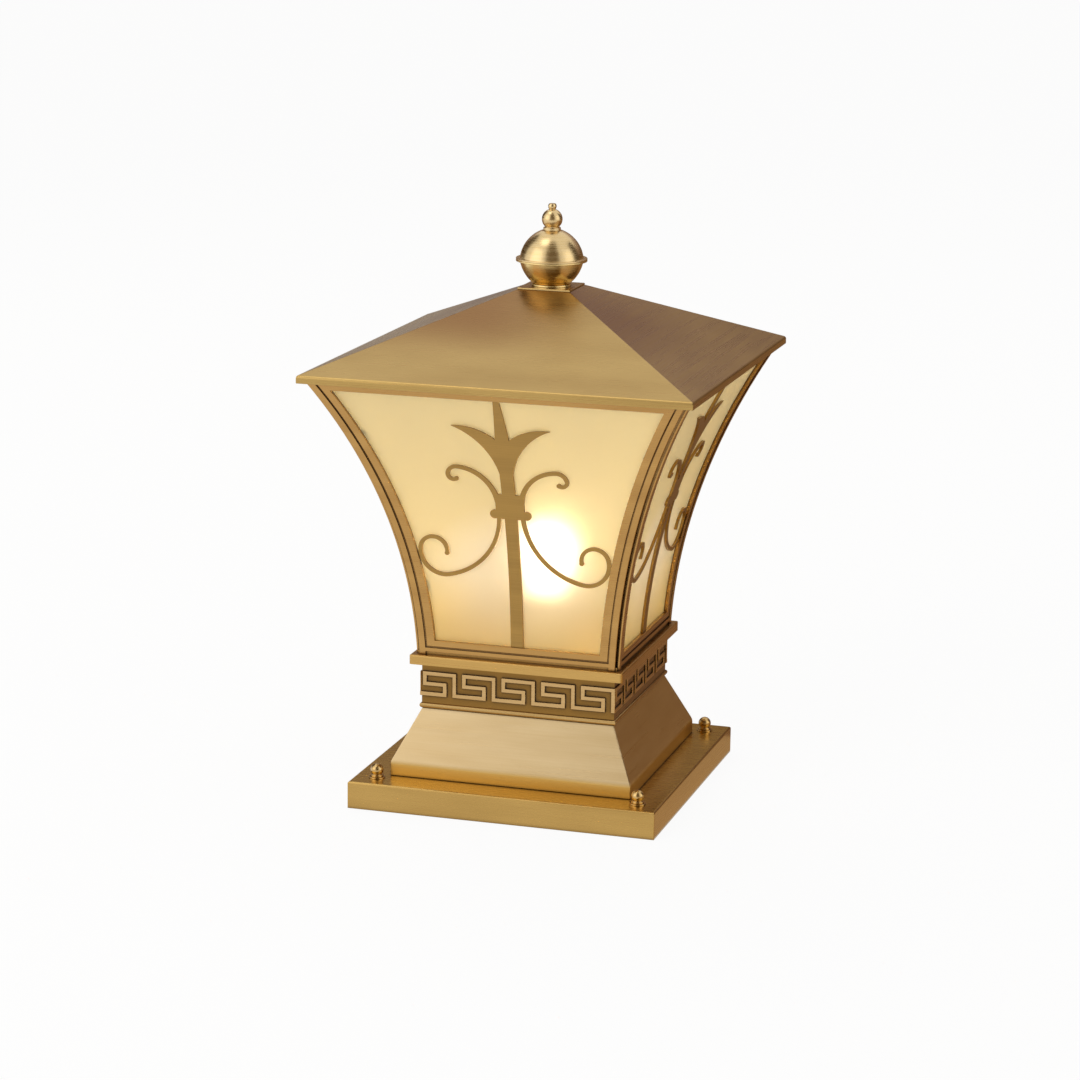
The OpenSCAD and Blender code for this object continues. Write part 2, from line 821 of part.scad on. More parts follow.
module lantern_ring() {
    inner = ring_outer - ring_w;
    color("peru")
        difference() {
            translate([-ring_outer, -ring_outer, lantern_z])
                cube([2 * ring_outer, 2 * ring_outer, ring_t]);
            translate([-inner, -inner, lantern_z - over])
                cube([2 * inner, 2 * inner, ring_t + 2 * over]);
            at_ring_screws() hole(screw_r, lantern_z, ring_t);
        }
}
module ring_screws() {
    color("gold")
        at_ring_screws() small_screw(ledge_under, ledge_sheet + ring_t, -1);
}

module side_frame(k) {
    bar_top = frame_z + foot_bar_h;
    color("peru")
        quarter(k) {
            front_piece(strip_proud, frame_back, frame_z, roof_z)
                difference() {
                    flare_outline(0, frame_notch, frame_z, roof_z);
                    flare_outline(0, window_in, window_z, window_top);
                }
            front_piece(0, strip_proud, lantern_z, roof_z)
                difference() {
                    flare_outline(0, strip_notch, lantern_z, roof_z);
                    flare_outline(0, strip_notch + strip_w, bar_top, roof_z + over);
                    flare_outline(0, strip_notch + strip_w, lantern_z - over, frame_z);
                }
            front_piece(strip_proud - stile_proud, strip_proud, bar_top + groove_w, roof_z)
                difference() {
                    flare_outline(0, strip_notch + strip_w + groove_w, bar_top + groove_w, roof_z);
                    flare_outline(0, window_in, window_z, window_top);
                }
        }
}
// An angle that follows the lantern's corner behind the ends of two frames
module corner_post(k) {
    color("saddlebrown")
        quarter(k)
            intersection() {
                translate([-blank / 2, -blank / 2, frame_z])
                    cube([blank / 2, blank / 2, top_ring_z - frame_z]);
                difference() {
                    four_sided() flare_outline(frame_back, 0, frame_z, top_ring_z);
                    four_sided() flare_outline(frame_back + post_t, 0, frame_z - over, top_ring_z + over);
                    along_y() flare_outline(0, post_reach, frame_z - over, top_ring_z + over);
                    along_x() flare_outline(0, post_reach, frame_z - over, top_ring_z + over);
                }
            }
}
module pane(k) {
    color("cornsilk")
        quarter(k)
            front_piece(frame_back, frame_back + pane_t, frame_z, top_ring_z)
                flare_outline(0, post_reach + pane_gap, frame_z, top_ring_z);
}
// Each clip sits on a corner post and steps over the edge of a pane
module pane_clips() {
    on_post = frame_back + post_t;
    on_pane = frame_back + pane_t;
    step = post_reach + pane_gap;
    clip_start = post_reach - 2 * clip_t;
    color("gold")
        for (k = [0 : 3], s = [-1, 1], z = [frame_z + clip_low * lantern_h, frame_z + clip_high * lantern_h])
            quarter(k)
                mirror([s < 0 ? 1 : 0, 0, 0])
                    intersection() {
                        translate([0, -blank / 2, z])
                            cube([blank / 2, blank / 2, clip_h]);
                        union() {
                            front_piece(on_post, on_pane, z, z + clip_h)
                                difference() {
                                    flare_outline(0, clip_start, z, z + clip_h);
                                    flare_outline(0, step, z - over, z + clip_h + over);
                                }
                            front_piece(on_pane, on_pane + clip_t, z, z + clip_h)
                                difference() {
                                    flare_outline(0, clip_start, z, z + clip_h);
                                    flare_outline(0, step + clip_reach, z - over, z + clip_h + over);
                                }
                        }
                    }
}

// A chain of arcs, each tangent to the last and a little narrower, that begins inside the one before.
// It turns left (turn = 1) or right (turn = -1), and its first arc tapers from a root to the line's width.
module arc_chain(x, z, heading, turn, radii, sweeps, root_w, k = 0) {
    r = radii[k];
    w = scroll_w - k * scroll_taper;
    lap = scroll_lap / r * 180 / PI;
    start = heading - turn * (right_angle + lap);
    sweep = sweeps[k] + lap;
    shift = k == 0 ? (root_w - w) / (1 - cos(sweeps[k])) : 0;
    cx = x - turn * r * sin(heading);
    cz = z + turn * r * cos(heading);
    next = heading + turn * sweeps[k];
    end_x = cx + turn * r * sin(next);
    end_z = cz - turn * r * cos(next);
    translate([cx, cz])
        intersection() {
            difference() {
                circle(r = r + w / 2);
                translate([shift * turn * sin(next), -shift * turn * cos(next)])
                    circle(r = r - w / 2 - shift);
            }
            polygon([
                [0, 0],
                for (q = [0 : 3])
                    let(at = start + turn * sweep * q / 3)
                        3 * r * [cos(at), sin(at)]
            ]);
        }
    if (k < len(radii) - 1)
        arc_chain(end_x, end_z, next, turn, radii, sweeps, root_w, k + 1);
    else
        translate([end_x, end_z])
            circle(r = scroll_end_r);
}
module scroll(x, z, turn, turns, radii, root_w) {
    arc_chain(x, z, turns[0], turn, ornament_scale * radii, [turns[1], turns[2], turns[3]], root_w);
}
module leaf(spear) {
    difference() {
        intersection() {
            translate([leaf_upper_x, spear - leaf_upper_drop])
                circle(r = leaf_upper_r);
            translate([0, spear - leaf_foot_drop])
                square(2 * leaf_upper_r);
        }
        translate([leaf_lower_x, spear - leaf_lower_drop])
            circle(r = leaf_lower_r);
    }
}
module ornament_outline() {
    collar = lantern_z + collar_z;
    collar_top = collar + collar_h;
    spear = lantern_z + spear_z;
    polygon([
        [-neck_half, collar_top - over], [neck_half, collar_top - over], [neck_half, spear],
        [spear_half, window_top], [-spear_half, window_top], [-neck_half, spear]
    ]);
    translate([-stem_half, window_z])
        square([2 * stem_half, collar - window_z + over]);
    spread_foot = collar_top - collar_spread_h;
    polygon([
        [-collar_half, collar], [collar_half, collar], [collar_half, spread_foot],
        [collar_top_half, collar_top], [-collar_top_half, collar_top], [-collar_half, spread_foot]
    ]);
    for (s = [0, 1])
        mirror([s, 0, 0]) {
            translate([collar_half + collar_knob_out, collar + collar_knob_r])
                circle(r = collar_knob_r);
            leaf(spear);
            scroll(
                lower_scroll_x, collar, 1, lower_scroll_turns, [lower_sweep_r, lower_bend_r, lower_curl_r],
                scroll_w
            );
            scroll(
                upper_scroll_x, collar_top, -1, upper_scroll_turns,
                [upper_sweep_r, upper_bend_r, upper_curl_r], scroll_root_w
            );
        }
}
module ornament(k) {
    color("sienna")
        quarter(k)
            front_piece(frame_back - ornament_t, frame_back, window_z, window_top)
                ornament_outline();
}

module lamp_nipple() {
    foot = ledge_under - nipple_nut_h - nipple_tail;
    color("gold")
        tube(nipple_r, nipple_bore_r, foot, lantern_z + nipple_in_holder - foot);
}
module nipple_nut() {
    color("gold")
        hex(nipple_nut_af, ledge_under - nipple_nut_h, nipple_nut_h, nipple_r);
}
module holder_base() {
    color("ivory")
        difference() {
            translate([0, 0, lantern_z])
                cylinder(r = holder_r, h = holder_base_h);
            hole(nipple_r, lantern_z, nipple_in_holder);
            translate([0, 0, contact_z])
                cylinder(r = bulb_cap_r + cap_gap, h = holder_well_h + over);
        }
}
module holder_contact() {
    color("gold")
        translate([0, 0, contact_z])
            cylinder(r = contact_r, h = contact_t);
}
module holder_shell() {
    z0 = lantern_z + holder_base_h;
    bore = bulb_cap_r + cap_gap;
    color("ivory")
        rotate_extrude()
            polygon([
                [bore, z0], [holder_r, z0], [holder_r, z0 + holder_shell_h / 2],
                [holder_top_r, z0 + holder_shell_h], [bore, z0 + holder_shell_h]
            ]);
}
module bulb_contact() {
    color("silver")
        translate([0, 0, bulb_z])
            cylinder(r = bulb_button_r, h = bulb_button_h);
}
module bulb_cap() {
    color("silver")
        rotate_extrude()
            difference() {
                polygon([
                    [0, bulb_cap_z], [bulb_button_r, bulb_cap_z], [bulb_cap_r, bulb_cap_z + bulb_slope_h],
                    [bulb_cap_r, bulb_cap_z + bulb_cap_h], [0, bulb_cap_z + bulb_cap_h]
                ]);
                translate([0, bulb_cap_z + bulb_slope_h])
                    square([bulb_cap_r - globe_wall, bulb_cap_h]);
            }
}
// The globe narrows to a neck that is cemented into the screw cap
module globe_outline(inset) {
    neck = bulb_cap_r - globe_wall - inset;
    joint_z = bulb_cap_z + bulb_cap_h;
    spread = globe_r - inset;
    translate([0, globe_z])
        circle(r = spread);
    polygon([
        [0, joint_z - globe_in_cap], [neck, joint_z - globe_in_cap], [neck, joint_z],
        [spread * cos(globe_neck_angle), globe_z - spread * sin(globe_neck_angle)], [0, globe_z]
    ]);
}
module bulb_globe() {
    color("white")
        rotate_extrude()
            intersection() {
                translate([0, bulb_cap_z])
                    square([2 * globe_r, 2 * globe_z]);
                difference() {
                    globe_outline(0);
                    globe_outline(globe_wall);
                    translate([0, bulb_cap_z])
                        square([bulb_cap_r - 2 * globe_wall, bulb_cap_h - globe_in_cap + globe_wall]);
                }
            }
}

module top_ring() {
    color("peru")
        difference() {
            four_sided() flare_outline(frame_back, 0, top_ring_z, roof_z);
            translate([-ring_open, -ring_open, top_ring_z - over])
                cube([2 * ring_open, 2 * ring_open, top_ring_t + 2 * over]);
            at_crossbar_screws() hole(screw_r + hole_gap, top_ring_z, top_ring_t);
        }
}
module at_crossbar_screws() {
    for (s = [-1, 1])
        translate([s * (ring_open + crossbar_lap / 2), 0, 0])
            children();
}
module crossbar() {
    half = ring_open + crossbar_lap;
    color("peru")
        difference() {
            translate([-half, -crossbar_w / 2, crossbar_z])
                cube([2 * half, crossbar_w, crossbar_t]);
            hole(rod_r + hole_gap, crossbar_z, crossbar_t);
            at_crossbar_screws() hole(screw_r, crossbar_z, crossbar_t);
        }
}
module crossbar_screws() {
    color("gold")
        at_crossbar_screws() small_screw(roof_z, top_ring_t + crossbar_t, 1);
}
module roof_rod() {
    foot = crossbar_z - rod_nut_h - rod_tail;
    color("gold")
        translate([0, 0, foot])
            cylinder(r = rod_r, h = knob_z + knob_bore_h - knob_end_gap - foot);
}
module rod_nuts() {
    color("gold") {
        hex(rod_nut_af, crossbar_z - rod_nut_h, rod_nut_h, rod_r);
        hex(rod_nut_af, top_ring_z, rod_nut_h, rod_r);
    }
}

module roof_shell() {
    open = eave - roof_sheet - lip_w;
    color("darkgoldenrod")
        difference() {
            union() {
                folded_shell(eave, roof_top_w / 2, roof_z, fascia_z, cap_z, eave_fold_r, roof_sheet);
                translate([-eave + roof_sheet / 2, -eave + roof_sheet / 2, roof_z])
                    cube([2 * eave - roof_sheet, 2 * eave - roof_sheet, roof_sheet]);
            }
            translate([-open, -open, roof_z - over])
                cube([2 * open, 2 * open, roof_sheet + 2 * over]);
            hole(rod_r + hole_gap, cap_z - roof_sheet, roof_sheet);
        }
}
module roof_cap_plate() {
    color("darkgoldenrod")
        difference() {
            translate([-cap_w / 2, -cap_w / 2, cap_z])
                cube([cap_w, cap_w, cap_t]);
            hole(rod_r + hole_gap, cap_z, cap_t);
        }
}
module finial_foot() {
    color("goldenrod")
        tube(foot_r, rod_r + hole_gap, foot_z, foot_h);
}
// Outline of a spun half: its side is an arc that meets the rim at the ball's radius, with its middle above
// or below the rim (rise), and inset gives the inside of the sheet
module spun_outline(inset, curve_r, rise, z0, z1) {
    intersection() {
        translate([ball_r - sqrt(curve_r * curve_r - rise * rise), ball_z + rise])
            circle(r = curve_r - inset);
        translate([0, z0])
            square([ball_r + over, z1 - z0]);
    }
}
// A spun sheet half of the ball, with its rim and the hole for the rod, as an outline to revolve
module spun_half(curve_r, rise, z0, z1) {
    up = z0 >= ball_z;
    difference() {
        union() {
            spun_outline(0, curve_r, rise, z0, z1);
            translate([0, up ? ball_z : ball_z - ball_rim_t])
                square([ball_r + ball_rim_w, ball_rim_t]);
        }
        spun_outline(
            ball_wall, curve_r, rise, up ? z0 - over : z0 + ball_wall, up ? z1 - ball_wall : z1 + over
        );
        translate([0, up ? z1 - 2 * ball_wall : z0 - ball_wall])
            square([rod_r + hole_gap, 3 * ball_wall]);
    }
}
module finial_bowl() {
    color("goldenrod")
        rotate_extrude()
            spun_half(bowl_curve_r, bowl_curve_rise, ball_z - ball_foot_drop, ball_z);
}
module finial_dome() {
    color("goldenrod")
        rotate_extrude()
            spun_half(dome_curve_r, -dome_curve_drop, ball_z, ball_z + ball_top_rise);
}
module finial_ring() {
    color("goldenrod")
        tube(ring_r, rod_r + hole_gap, ring_z, ring_h);
}
module finial_knob() {
    tip_neck_z = knob_ball_z + sqrt(knob_r * knob_r - tip_neck_r * tip_neck_r);
    tip_z = tip_neck_z + tip_neck_h + sqrt(tip_r * tip_r - tip_neck_r * tip_neck_r);
    color("goldenrod")
        rotate_extrude()
            difference() {
                intersection() {
                    union() {
                        translate([0, knob_z])
                            square([knob_neck_r, knob_ball_z - knob_z]);
                        translate([0, knob_ball_z])
                            circle(r = knob_r);
                        translate([0, knob_ball_z])
                            square([tip_neck_r, tip_z - knob_ball_z]);
                        translate([0, tip_z])
                            circle(r = tip_r);
                    }
                    translate([0, knob_z])
                        square([2 * knob_r, tip_z + tip_end_rise - knob_z]);
                }
                translate([-over, knob_z - over])
                    square([rod_r + thread_gap + over, knob_bore_h + over]);
            }
}

mounting_plate();
anchor_studs();
cable_bush();
terminal_block();
earth_screw();
base_tray();
anchor_washer(0);  // front_left_washer
anchor_washer(1);  // front_right_washer
anchor_washer(2);  // back_right_washer
anchor_washer(3);  // back_left_washer
anchor_nut(0);  // front_left_nut
anchor_nut(1);  // front_right_nut
anchor_nut(2);  // back_right_nut
anchor_nut(3);  // back_left_nut
plinth_skirt();
key_strip(0);  // front_key_strip
key_strip(1);  // right_key_strip
key_strip(2);  // back_key_strip
key_strip(3);  // left_key_strip
neck_bead();
ledge_plate();
lantern_ring();
ring_screws();
side_frame(0);  // front_frame
side_frame(1);  // right_frame
side_frame(2);  // back_frame
side_frame(3);  // left_frame
corner_post(0);  // front_left_post
corner_post(1);  // front_right_post
corner_post(2);  // back_right_post
corner_post(3);  // back_left_post
pane(0);  // front_pane
pane(1);  // right_pane
pane(2);  // back_pane
pane(3);  // left_pane
ornament(0);  // front_ornament
ornament(1);  // right_ornament
ornament(2);  // back_ornament
ornament(3);  // left_ornament
pane_clips();
lamp_nipple();
nipple_nut();
holder_base();
holder_contact();
holder_shell();
bulb_contact();
bulb_cap();
bulb_globe();
top_ring();
crossbar();
crossbar_screws();
roof_rod();
rod_nuts();
roof_shell();
roof_cap_plate();
finial_foot();
finial_bowl();
finial_dome();
finial_ring();
finial_knob();
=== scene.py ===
import json
import math

import bmesh
import bpy
from mathutils import Matrix, Vector


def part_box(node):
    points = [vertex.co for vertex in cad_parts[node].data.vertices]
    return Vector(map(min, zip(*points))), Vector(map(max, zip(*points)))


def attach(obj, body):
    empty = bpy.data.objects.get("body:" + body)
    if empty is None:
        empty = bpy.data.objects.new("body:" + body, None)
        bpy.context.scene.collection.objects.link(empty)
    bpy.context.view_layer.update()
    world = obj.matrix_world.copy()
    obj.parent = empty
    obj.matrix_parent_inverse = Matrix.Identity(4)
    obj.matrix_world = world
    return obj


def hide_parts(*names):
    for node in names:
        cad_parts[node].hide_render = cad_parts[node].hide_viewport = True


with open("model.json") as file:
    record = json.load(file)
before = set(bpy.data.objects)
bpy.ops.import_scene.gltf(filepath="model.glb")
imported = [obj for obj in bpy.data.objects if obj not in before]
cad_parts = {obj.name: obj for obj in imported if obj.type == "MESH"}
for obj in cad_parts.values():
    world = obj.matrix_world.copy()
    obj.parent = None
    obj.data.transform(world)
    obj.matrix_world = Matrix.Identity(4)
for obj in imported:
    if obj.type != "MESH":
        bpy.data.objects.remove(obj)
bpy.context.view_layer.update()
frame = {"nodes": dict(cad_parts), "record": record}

MM = 0.001

# Camera.
# A long lens a little to the right of the front and 13 degrees above the level, as in the photograph.
CAMERA_AT = (0.7069, -2.3958, 0.7753)
CAMERA_YAW = 16.578
CAMERA_TILT = 76.846
CAMERA_ROLL = 0.747
SENSOR = 36
LENS = 111.32

camera = bpy.data.objects.new("camera", bpy.data.cameras.new("camera"))
camera.data.sensor_width = SENSOR
camera.data.lens = LENS
camera.matrix_world = (
    Matrix.Translation(CAMERA_AT)
    @ Matrix.Rotation(math.radians(CAMERA_YAW), 4, "Z")
    @ Matrix.Rotation(math.radians(CAMERA_TILT), 4, "X")
    @ Matrix.Rotation(math.radians(CAMERA_ROLL), 4, "Z")
)
bpy.context.scene.collection.objects.link(camera)
bpy.context.scene.camera = camera
bpy.context.scene.view_settings.view_transform = "Standard"


# Studio.
# A white sweep under a white sky. Both are white to the camera and in the metal, and dimmer as a light, so
# that the floor keeps the shadow. Two soft boxes light the glass and the floor, and cards stand where only the
# metal sees them.
def linear(hex_colour):
    """The linear colour that a socket takes, from an sRGB hex value."""
    parts = [int(hex_colour[i:i + 2], 16) / 255 for i in (1, 3, 5)]
    return (*[c / 12.92 if c <= 0.04045 else ((c + 0.055) / 1.055) ** 2.4 for c in parts], 1.0)


def add_node(tree, kind, inputs=None, **settings):
    """Adds a node with its settings. An input is a value, or the output that feeds it."""
    node = tree.nodes.new(kind)
    for name, value in settings.items():
        setattr(node, name, value)
    for key, value in (inputs or {}).items():
        if isinstance(value, bpy.types.NodeSocket):
            tree.links.new(value, node.inputs[key])
        else:
            node.inputs[key].default_value = value
    return node


def bare_material(name):
    """A new material and its node tree, still empty."""
    material = bpy.data.materials.new(name)
    material.use_nodes = True
    material.node_tree.nodes.clear()
    return material, material.node_tree


def seen_directly(tree):
    """1 for a ray from the camera, a reflection or a clear pane, and 0 for one that only brings light."""
    path = add_node(tree, "ShaderNodeLightPath")
    seen = add_node(tree, "ShaderNodeMath", {
        0: path.outputs["Is Camera Ray"], 1: path.outputs["Is Glossy Ray"]}, operation="MAXIMUM")
    return add_node(tree, "ShaderNodeMath", {
        0: seen.outputs[0], 1: path.outputs["Is Transmission Ray"]}, operation="MAXIMUM").outputs[0]


WORLD_LIGHT = 0.6
# The sky is shown a hair under white, to match the lifted floor at the horizon.
SKY_SHOWN = 0.973
world = bpy.data.worlds.new("studio_white")
bpy.context.scene.world = world
world.use_nodes = True
sky = world.node_tree
sky.nodes.clear()
shown = add_node(sky, "ShaderNodeBackground", {"Color": linear("#FFFFFF"), "Strength": SKY_SHOWN})
cast = add_node(sky, "ShaderNodeBackground", {"Color": linear("#FFFCF7"), "Strength": WORLD_LIGHT})
sky_mix = add_node(sky, "ShaderNodeMixShader", {
    0: seen_directly(sky), 1: cast.outputs[0], 2: shown.outputs[0]})
add_node(sky, "ShaderNodeOutputWorld", {"Surface": sky_mix.outputs[0]})

FLOOR_SIZE = 40
FLOOR_GAP = 0.2 * MM
# The share of white that the floor shows whatever light falls on it. The rest keeps the shadow.
FLOOR_LIFT = 0.93
bpy.ops.mesh.primitive_plane_add(size=FLOOR_SIZE, location=(0, 0, -FLOOR_GAP))
floor = bpy.context.object
floor.name = "floor"
floor_white, tree = bare_material("matt_white_sweep")
matt = add_node(tree, "ShaderNodeBsdfDiffuse", {"Color": linear("#F4F4F4")})
lift = add_node(tree, "ShaderNodeEmission", {"Color": linear("#FFFFFF"), "Strength": 1.0})
lifted = add_node(tree, "ShaderNodeMath", {0: seen_directly(tree), 1: FLOOR_LIFT}, operation="MULTIPLY")
floor_mix = add_node(tree, "ShaderNodeMixShader", {
    0: lifted.outputs[0], 1: matt.outputs[0], 2: lift.outputs[0]})
add_node(tree, "ShaderNodeOutputMaterial", {"Surface": floor_mix.outputs[0]})
floor.data.materials.append(floor_white)


def soft_box(name, place, target, size, power, colour):
    """A square area lamp that faces a point. It isn't seen in the metal, where the cards take its place."""
    lamp = bpy.data.lights.new(name, "AREA")
    lamp.shape = "SQUARE"
    lamp.size = size
    lamp.energy = power
    lamp.color = linear(colour)[:3]
    box = bpy.data.objects.new(name, lamp)
    box.location = place
    box.rotation_euler = (Vector(target) - Vector(place)).to_track_quat("-Z", "Y").to_euler()
    box.visible_glossy = False
    bpy.context.scene.collection.objects.link(box)


soft_box("key_box", (-1.1, -2.2, 1.5), (0, 0, 0.15), 1.5, 24, "#FFFFFF")
soft_box("back_box", (-1.0, 1.6, 2.4), (0, 0, 0.35), 1.6, 16, "#FFF8EE")


def reflection_card(name, corners, tones, strength=1.0):
    """A card that only reflections see. It casts nothing. Its tones are pairs of a height and a colour."""
    mesh = bpy.data.meshes.new(name)
    mesh.from_pydata(corners, [], [(0, 1, 2, 3)])
    card = bpy.data.objects.new(name, mesh)
    bpy.context.scene.collection.objects.link(card)
    paper, tree = bare_material(name)
    place = add_node(tree, "ShaderNodeSeparateXYZ", {
        0: add_node(tree, "ShaderNodeTexCoord").outputs["Object"]})
    top = max(tones[-1][0], MM)
    up = add_node(tree, "ShaderNodeMath", {0: place.outputs["Z"], 1: top}, operation="DIVIDE")
    shade = add_node(tree, "ShaderNodeValToRGB", {0: up.outputs[0]})
    stops = shade.color_ramp.elements
    while len(stops) < len(tones):
        stops.new(1.0)
    for stop, (height, colour) in zip(stops, tones):
        stop.position = height / top
        stop.color = linear(colour)
    glow = add_node(tree, "ShaderNodeEmission", {"Color": shade.outputs[0], "Strength": strength})
    add_node(tree, "ShaderNodeOutputMaterial", {"Surface": glow.outputs[0]})
    mesh.materials.append(paper)
    card.visible_camera = False
    card.visible_diffuse = False
    card.visible_shadow = False
    card.visible_transmission = False
    card.visible_volume_scatter = False


def one_tone(colour):
    """The tones of a card that is the same colour all over."""
    return [(0, colour), (1, colour)]


# The cards' corners are places in metres, chosen against the photograph's reflections.
CARD_LIFT = 0.5 * MM
BACK_WALL = 1.9
MID_FLOOR = 0.16
BESIDE_TRAY = 0.1205
CAMERA_CARD_TOP = 4.2
WARM_FLOOR = one_tone("#8C6B4B")
CAMERA_SHADE = "#6E604E"
FLAG_SHADE = one_tone("#4A3C2C")
WHITE = one_tone("#FFFFFF")

reflection_card(
    "back_card",
    [(-3.0, BACK_WALL, 0), (3.0, BACK_WALL, 0), (3.0, BACK_WALL, 1.55), (-3.0, BACK_WALL, 1.55)],
    [(0, "#906F49"), (0.2, "#8A6A45"), (0.47, "#6B5440"), (0.72, "#6B5848"), (0.95, "#A8928A"),
     (1.55, "#B0A098")])
reflection_card(
    "back_floor_card",
    [(-2.5, MID_FLOOR, CARD_LIFT), (2.5, MID_FLOOR, CARD_LIFT),
     (2.5, BACK_WALL, CARD_LIFT), (-2.5, BACK_WALL, CARD_LIFT)],
    WARM_FLOOR)
reflection_card(
    "right_floor_card",
    [(BESIDE_TRAY, -0.4, CARD_LIFT), (2.2, -0.4, CARD_LIFT),
     (2.2, MID_FLOOR, CARD_LIFT), (BESIDE_TRAY, MID_FLOOR, CARD_LIFT)],
    one_tone("#C0A174"))
reflection_card(
    "camera_card",
    [(-0.35, -3.0, 0), (2.7, -2.6, 0), (2.0, -2.0, CAMERA_CARD_TOP), (-0.3, -2.3, CAMERA_CARD_TOP)],
    [(0, "#8A7E70"), (1.0, CAMERA_SHADE), (CAMERA_CARD_TOP, CAMERA_SHADE)])
reflection_card(
    "camera_card_top",
    [(-0.3, -2.3, CAMERA_CARD_TOP), (2.0, -2.0, CAMERA_CARD_TOP), (1.1, -0.7, 5.0), (-0.3, -0.8, 5.0)],
    one_tone(CAMERA_SHADE))
reflection_card(
    "left_slope_card",
    [(-1.2, 1.85, 0.1), (-0.4, 1.85, 0.1), (-0.4, 1.85, 0.36), (-1.2, 1.85, 0.36)],
    one_tone("#C0BCB6"))
reflection_card(
    "left_flag",
    [(-2.0, 0.25, 0.3), (-1.7, 1.7, 0.3), (-1.7, 1.7, 2.6), (-2.0, 0.25, 2.6)],
    FLAG_SHADE)
reflection_card(
    "right_flag",
    [(2.2, 0.6, 0.3), (1.7, 1.7, 0.3), (1.7, 1.7, 2.6), (2.2, 0.6, 2.6)],
    FLAG_SHADE)
reflection_card(
    "left_bright_card",
    [(-2.3, -1.0, 0.25), (-1.0, -2.5, 0.25), (-1.0, -2.5, 2.6), (-2.3, -1.0, 2.6)],
    WHITE, 1.7)
reflection_card(
    "right_bright_card",
    [(2.5, -1.0, 0.3), (2.5, 0.5, 0.3), (2.5, 0.5, 2.2), (2.5, -1.0, 2.2)],
    WHITE, 1.5)
reflection_card(
    "overhead_card",
    [(-1.05, -0.95, 2.4), (-0.2, -0.95, 2.4), (-0.2, -0.1, 2.4), (-1.05, -0.1, 2.4)],
    WHITE, 2.6)


# Base tray.
# Brass sheet folded down on four sides and brushed along its length, then darkened and lacquered: fine level
# lines, broad soft streaks of patina, and thin bright lines along the worn folds.
# A dark patina tone, also used to paint shade into corners and joints.
PATINA_AND_SHADE = "#4A3014"
BRUSH_LINE = 0.9 * MM
BRUSH_STROKE = 110 * MM
CLOUD_HEIGHT = 13 * MM
CLOUD_WIDTH = 80 * MM
BRUSH_DEPTH = 0.05 * MM
LEVEL_FACE = 0.97


def brushed_brass(name, pale, deep, roughness, streaks=0.3, patina=0.3):
    """Brushed and lacquered antique brass. The lines stand for the finer brush marks of the real one."""
    material, tree = bare_material(name)
    where = add_node(tree, "ShaderNodeTexCoord")
    line, stroke = 1 / BRUSH_LINE, 1 / BRUSH_STROKE
    upright = add_node(tree, "ShaderNodeMapping", {
        "Vector": where.outputs["Object"], "Scale": (stroke, stroke, line)})
    level = add_node(tree, "ShaderNodeMapping", {
        "Vector": where.outputs["Object"], "Scale": (stroke, line, stroke)})
    facing = add_node(tree, "ShaderNodeSeparateXYZ", {0: where.outputs["Normal"]})
    is_level = add_node(tree, "ShaderNodeMath", {
        0: facing.outputs["Z"], 1: LEVEL_FACE}, operation="GREATER_THAN")
    grain = add_node(tree, "ShaderNodeMix", {
        "Factor": is_level.outputs[0], 4: upright.outputs[0], 5: level.outputs[0]}, data_type="VECTOR")
    brush = add_node(tree, "ShaderNodeTexNoise", {
        "Vector": grain.outputs[1], "Scale": 1.0, "Detail": 3.0, "Roughness": 0.6})
    brush_tone = add_node(tree, "ShaderNodeMapRange", {
        "Value": brush.outputs[0], "From Min": 0.3, "From Max": 0.7})
    stretched = add_node(tree, "ShaderNodeMapping", {
        "Vector": where.outputs["Object"], "Scale": (1 / CLOUD_WIDTH, 1 / CLOUD_WIDTH, 1 / CLOUD_HEIGHT)})
    cloud = add_node(tree, "ShaderNodeTexNoise", {
        "Vector": stretched.outputs[0], "Scale": 1.0, "Detail": 2.5})
    level_tone = (1 - streaks - patina) / 2
    cloud_tone = add_node(tree, "ShaderNodeMapRange", {
        "Value": cloud.outputs[0], "From Min": 0.3, "From Max": 0.7,
        "To Min": level_tone, "To Max": level_tone + patina})
    tone = add_node(tree, "ShaderNodeMath", {
        0: brush_tone.outputs[0], 1: streaks, 2: cloud_tone.outputs[0]}, operation="MULTIPLY_ADD")
    colour = add_node(tree, "ShaderNodeMix", {
        "Factor": tone.outputs[0], 6: linear(deep), 7: linear(pale)}, data_type="RGBA")
    rough = add_node(tree, "ShaderNodeMapRange", {
        "Value": brush_tone.outputs[0], "To Min": roughness - 0.06, "To Max": roughness + 0.06})
    bump = add_node(tree, "ShaderNodeBump", {
        "Height": brush.outputs[0], "Strength": 0.06, "Distance": BRUSH_DEPTH})
    metal = add_node(tree, "ShaderNodeBsdfPrincipled", {
        "Base Color": colour.outputs[2], "Metallic": 1.0, "Roughness": rough.outputs[0],
        "Normal": bump.outputs[0], "Coat Weight": 0.3, "Coat Roughness": 0.2})
    add_node(tree, "ShaderNodeOutputMaterial", {"Surface": metal.outputs[0]})
    return material


def toned(material, colour, mask):
    """Mixes one more tone into a metal's colour where the mask, an output of its own tree, is 1."""
    tree = material.node_tree
    metal = next(n for n in tree.nodes if n.type == "BSDF_PRINCIPLED")
    under = metal.inputs["Base Color"].links[0].from_socket
    over = colour if isinstance(colour, bpy.types.NodeSocket) else linear(colour)
    mixed = add_node(tree, "ShaderNodeMix", {"Factor": mask, 6: under, 7: over}, data_type="RGBA")
    tree.links.new(mixed.outputs[2], metal.inputs["Base Color"])


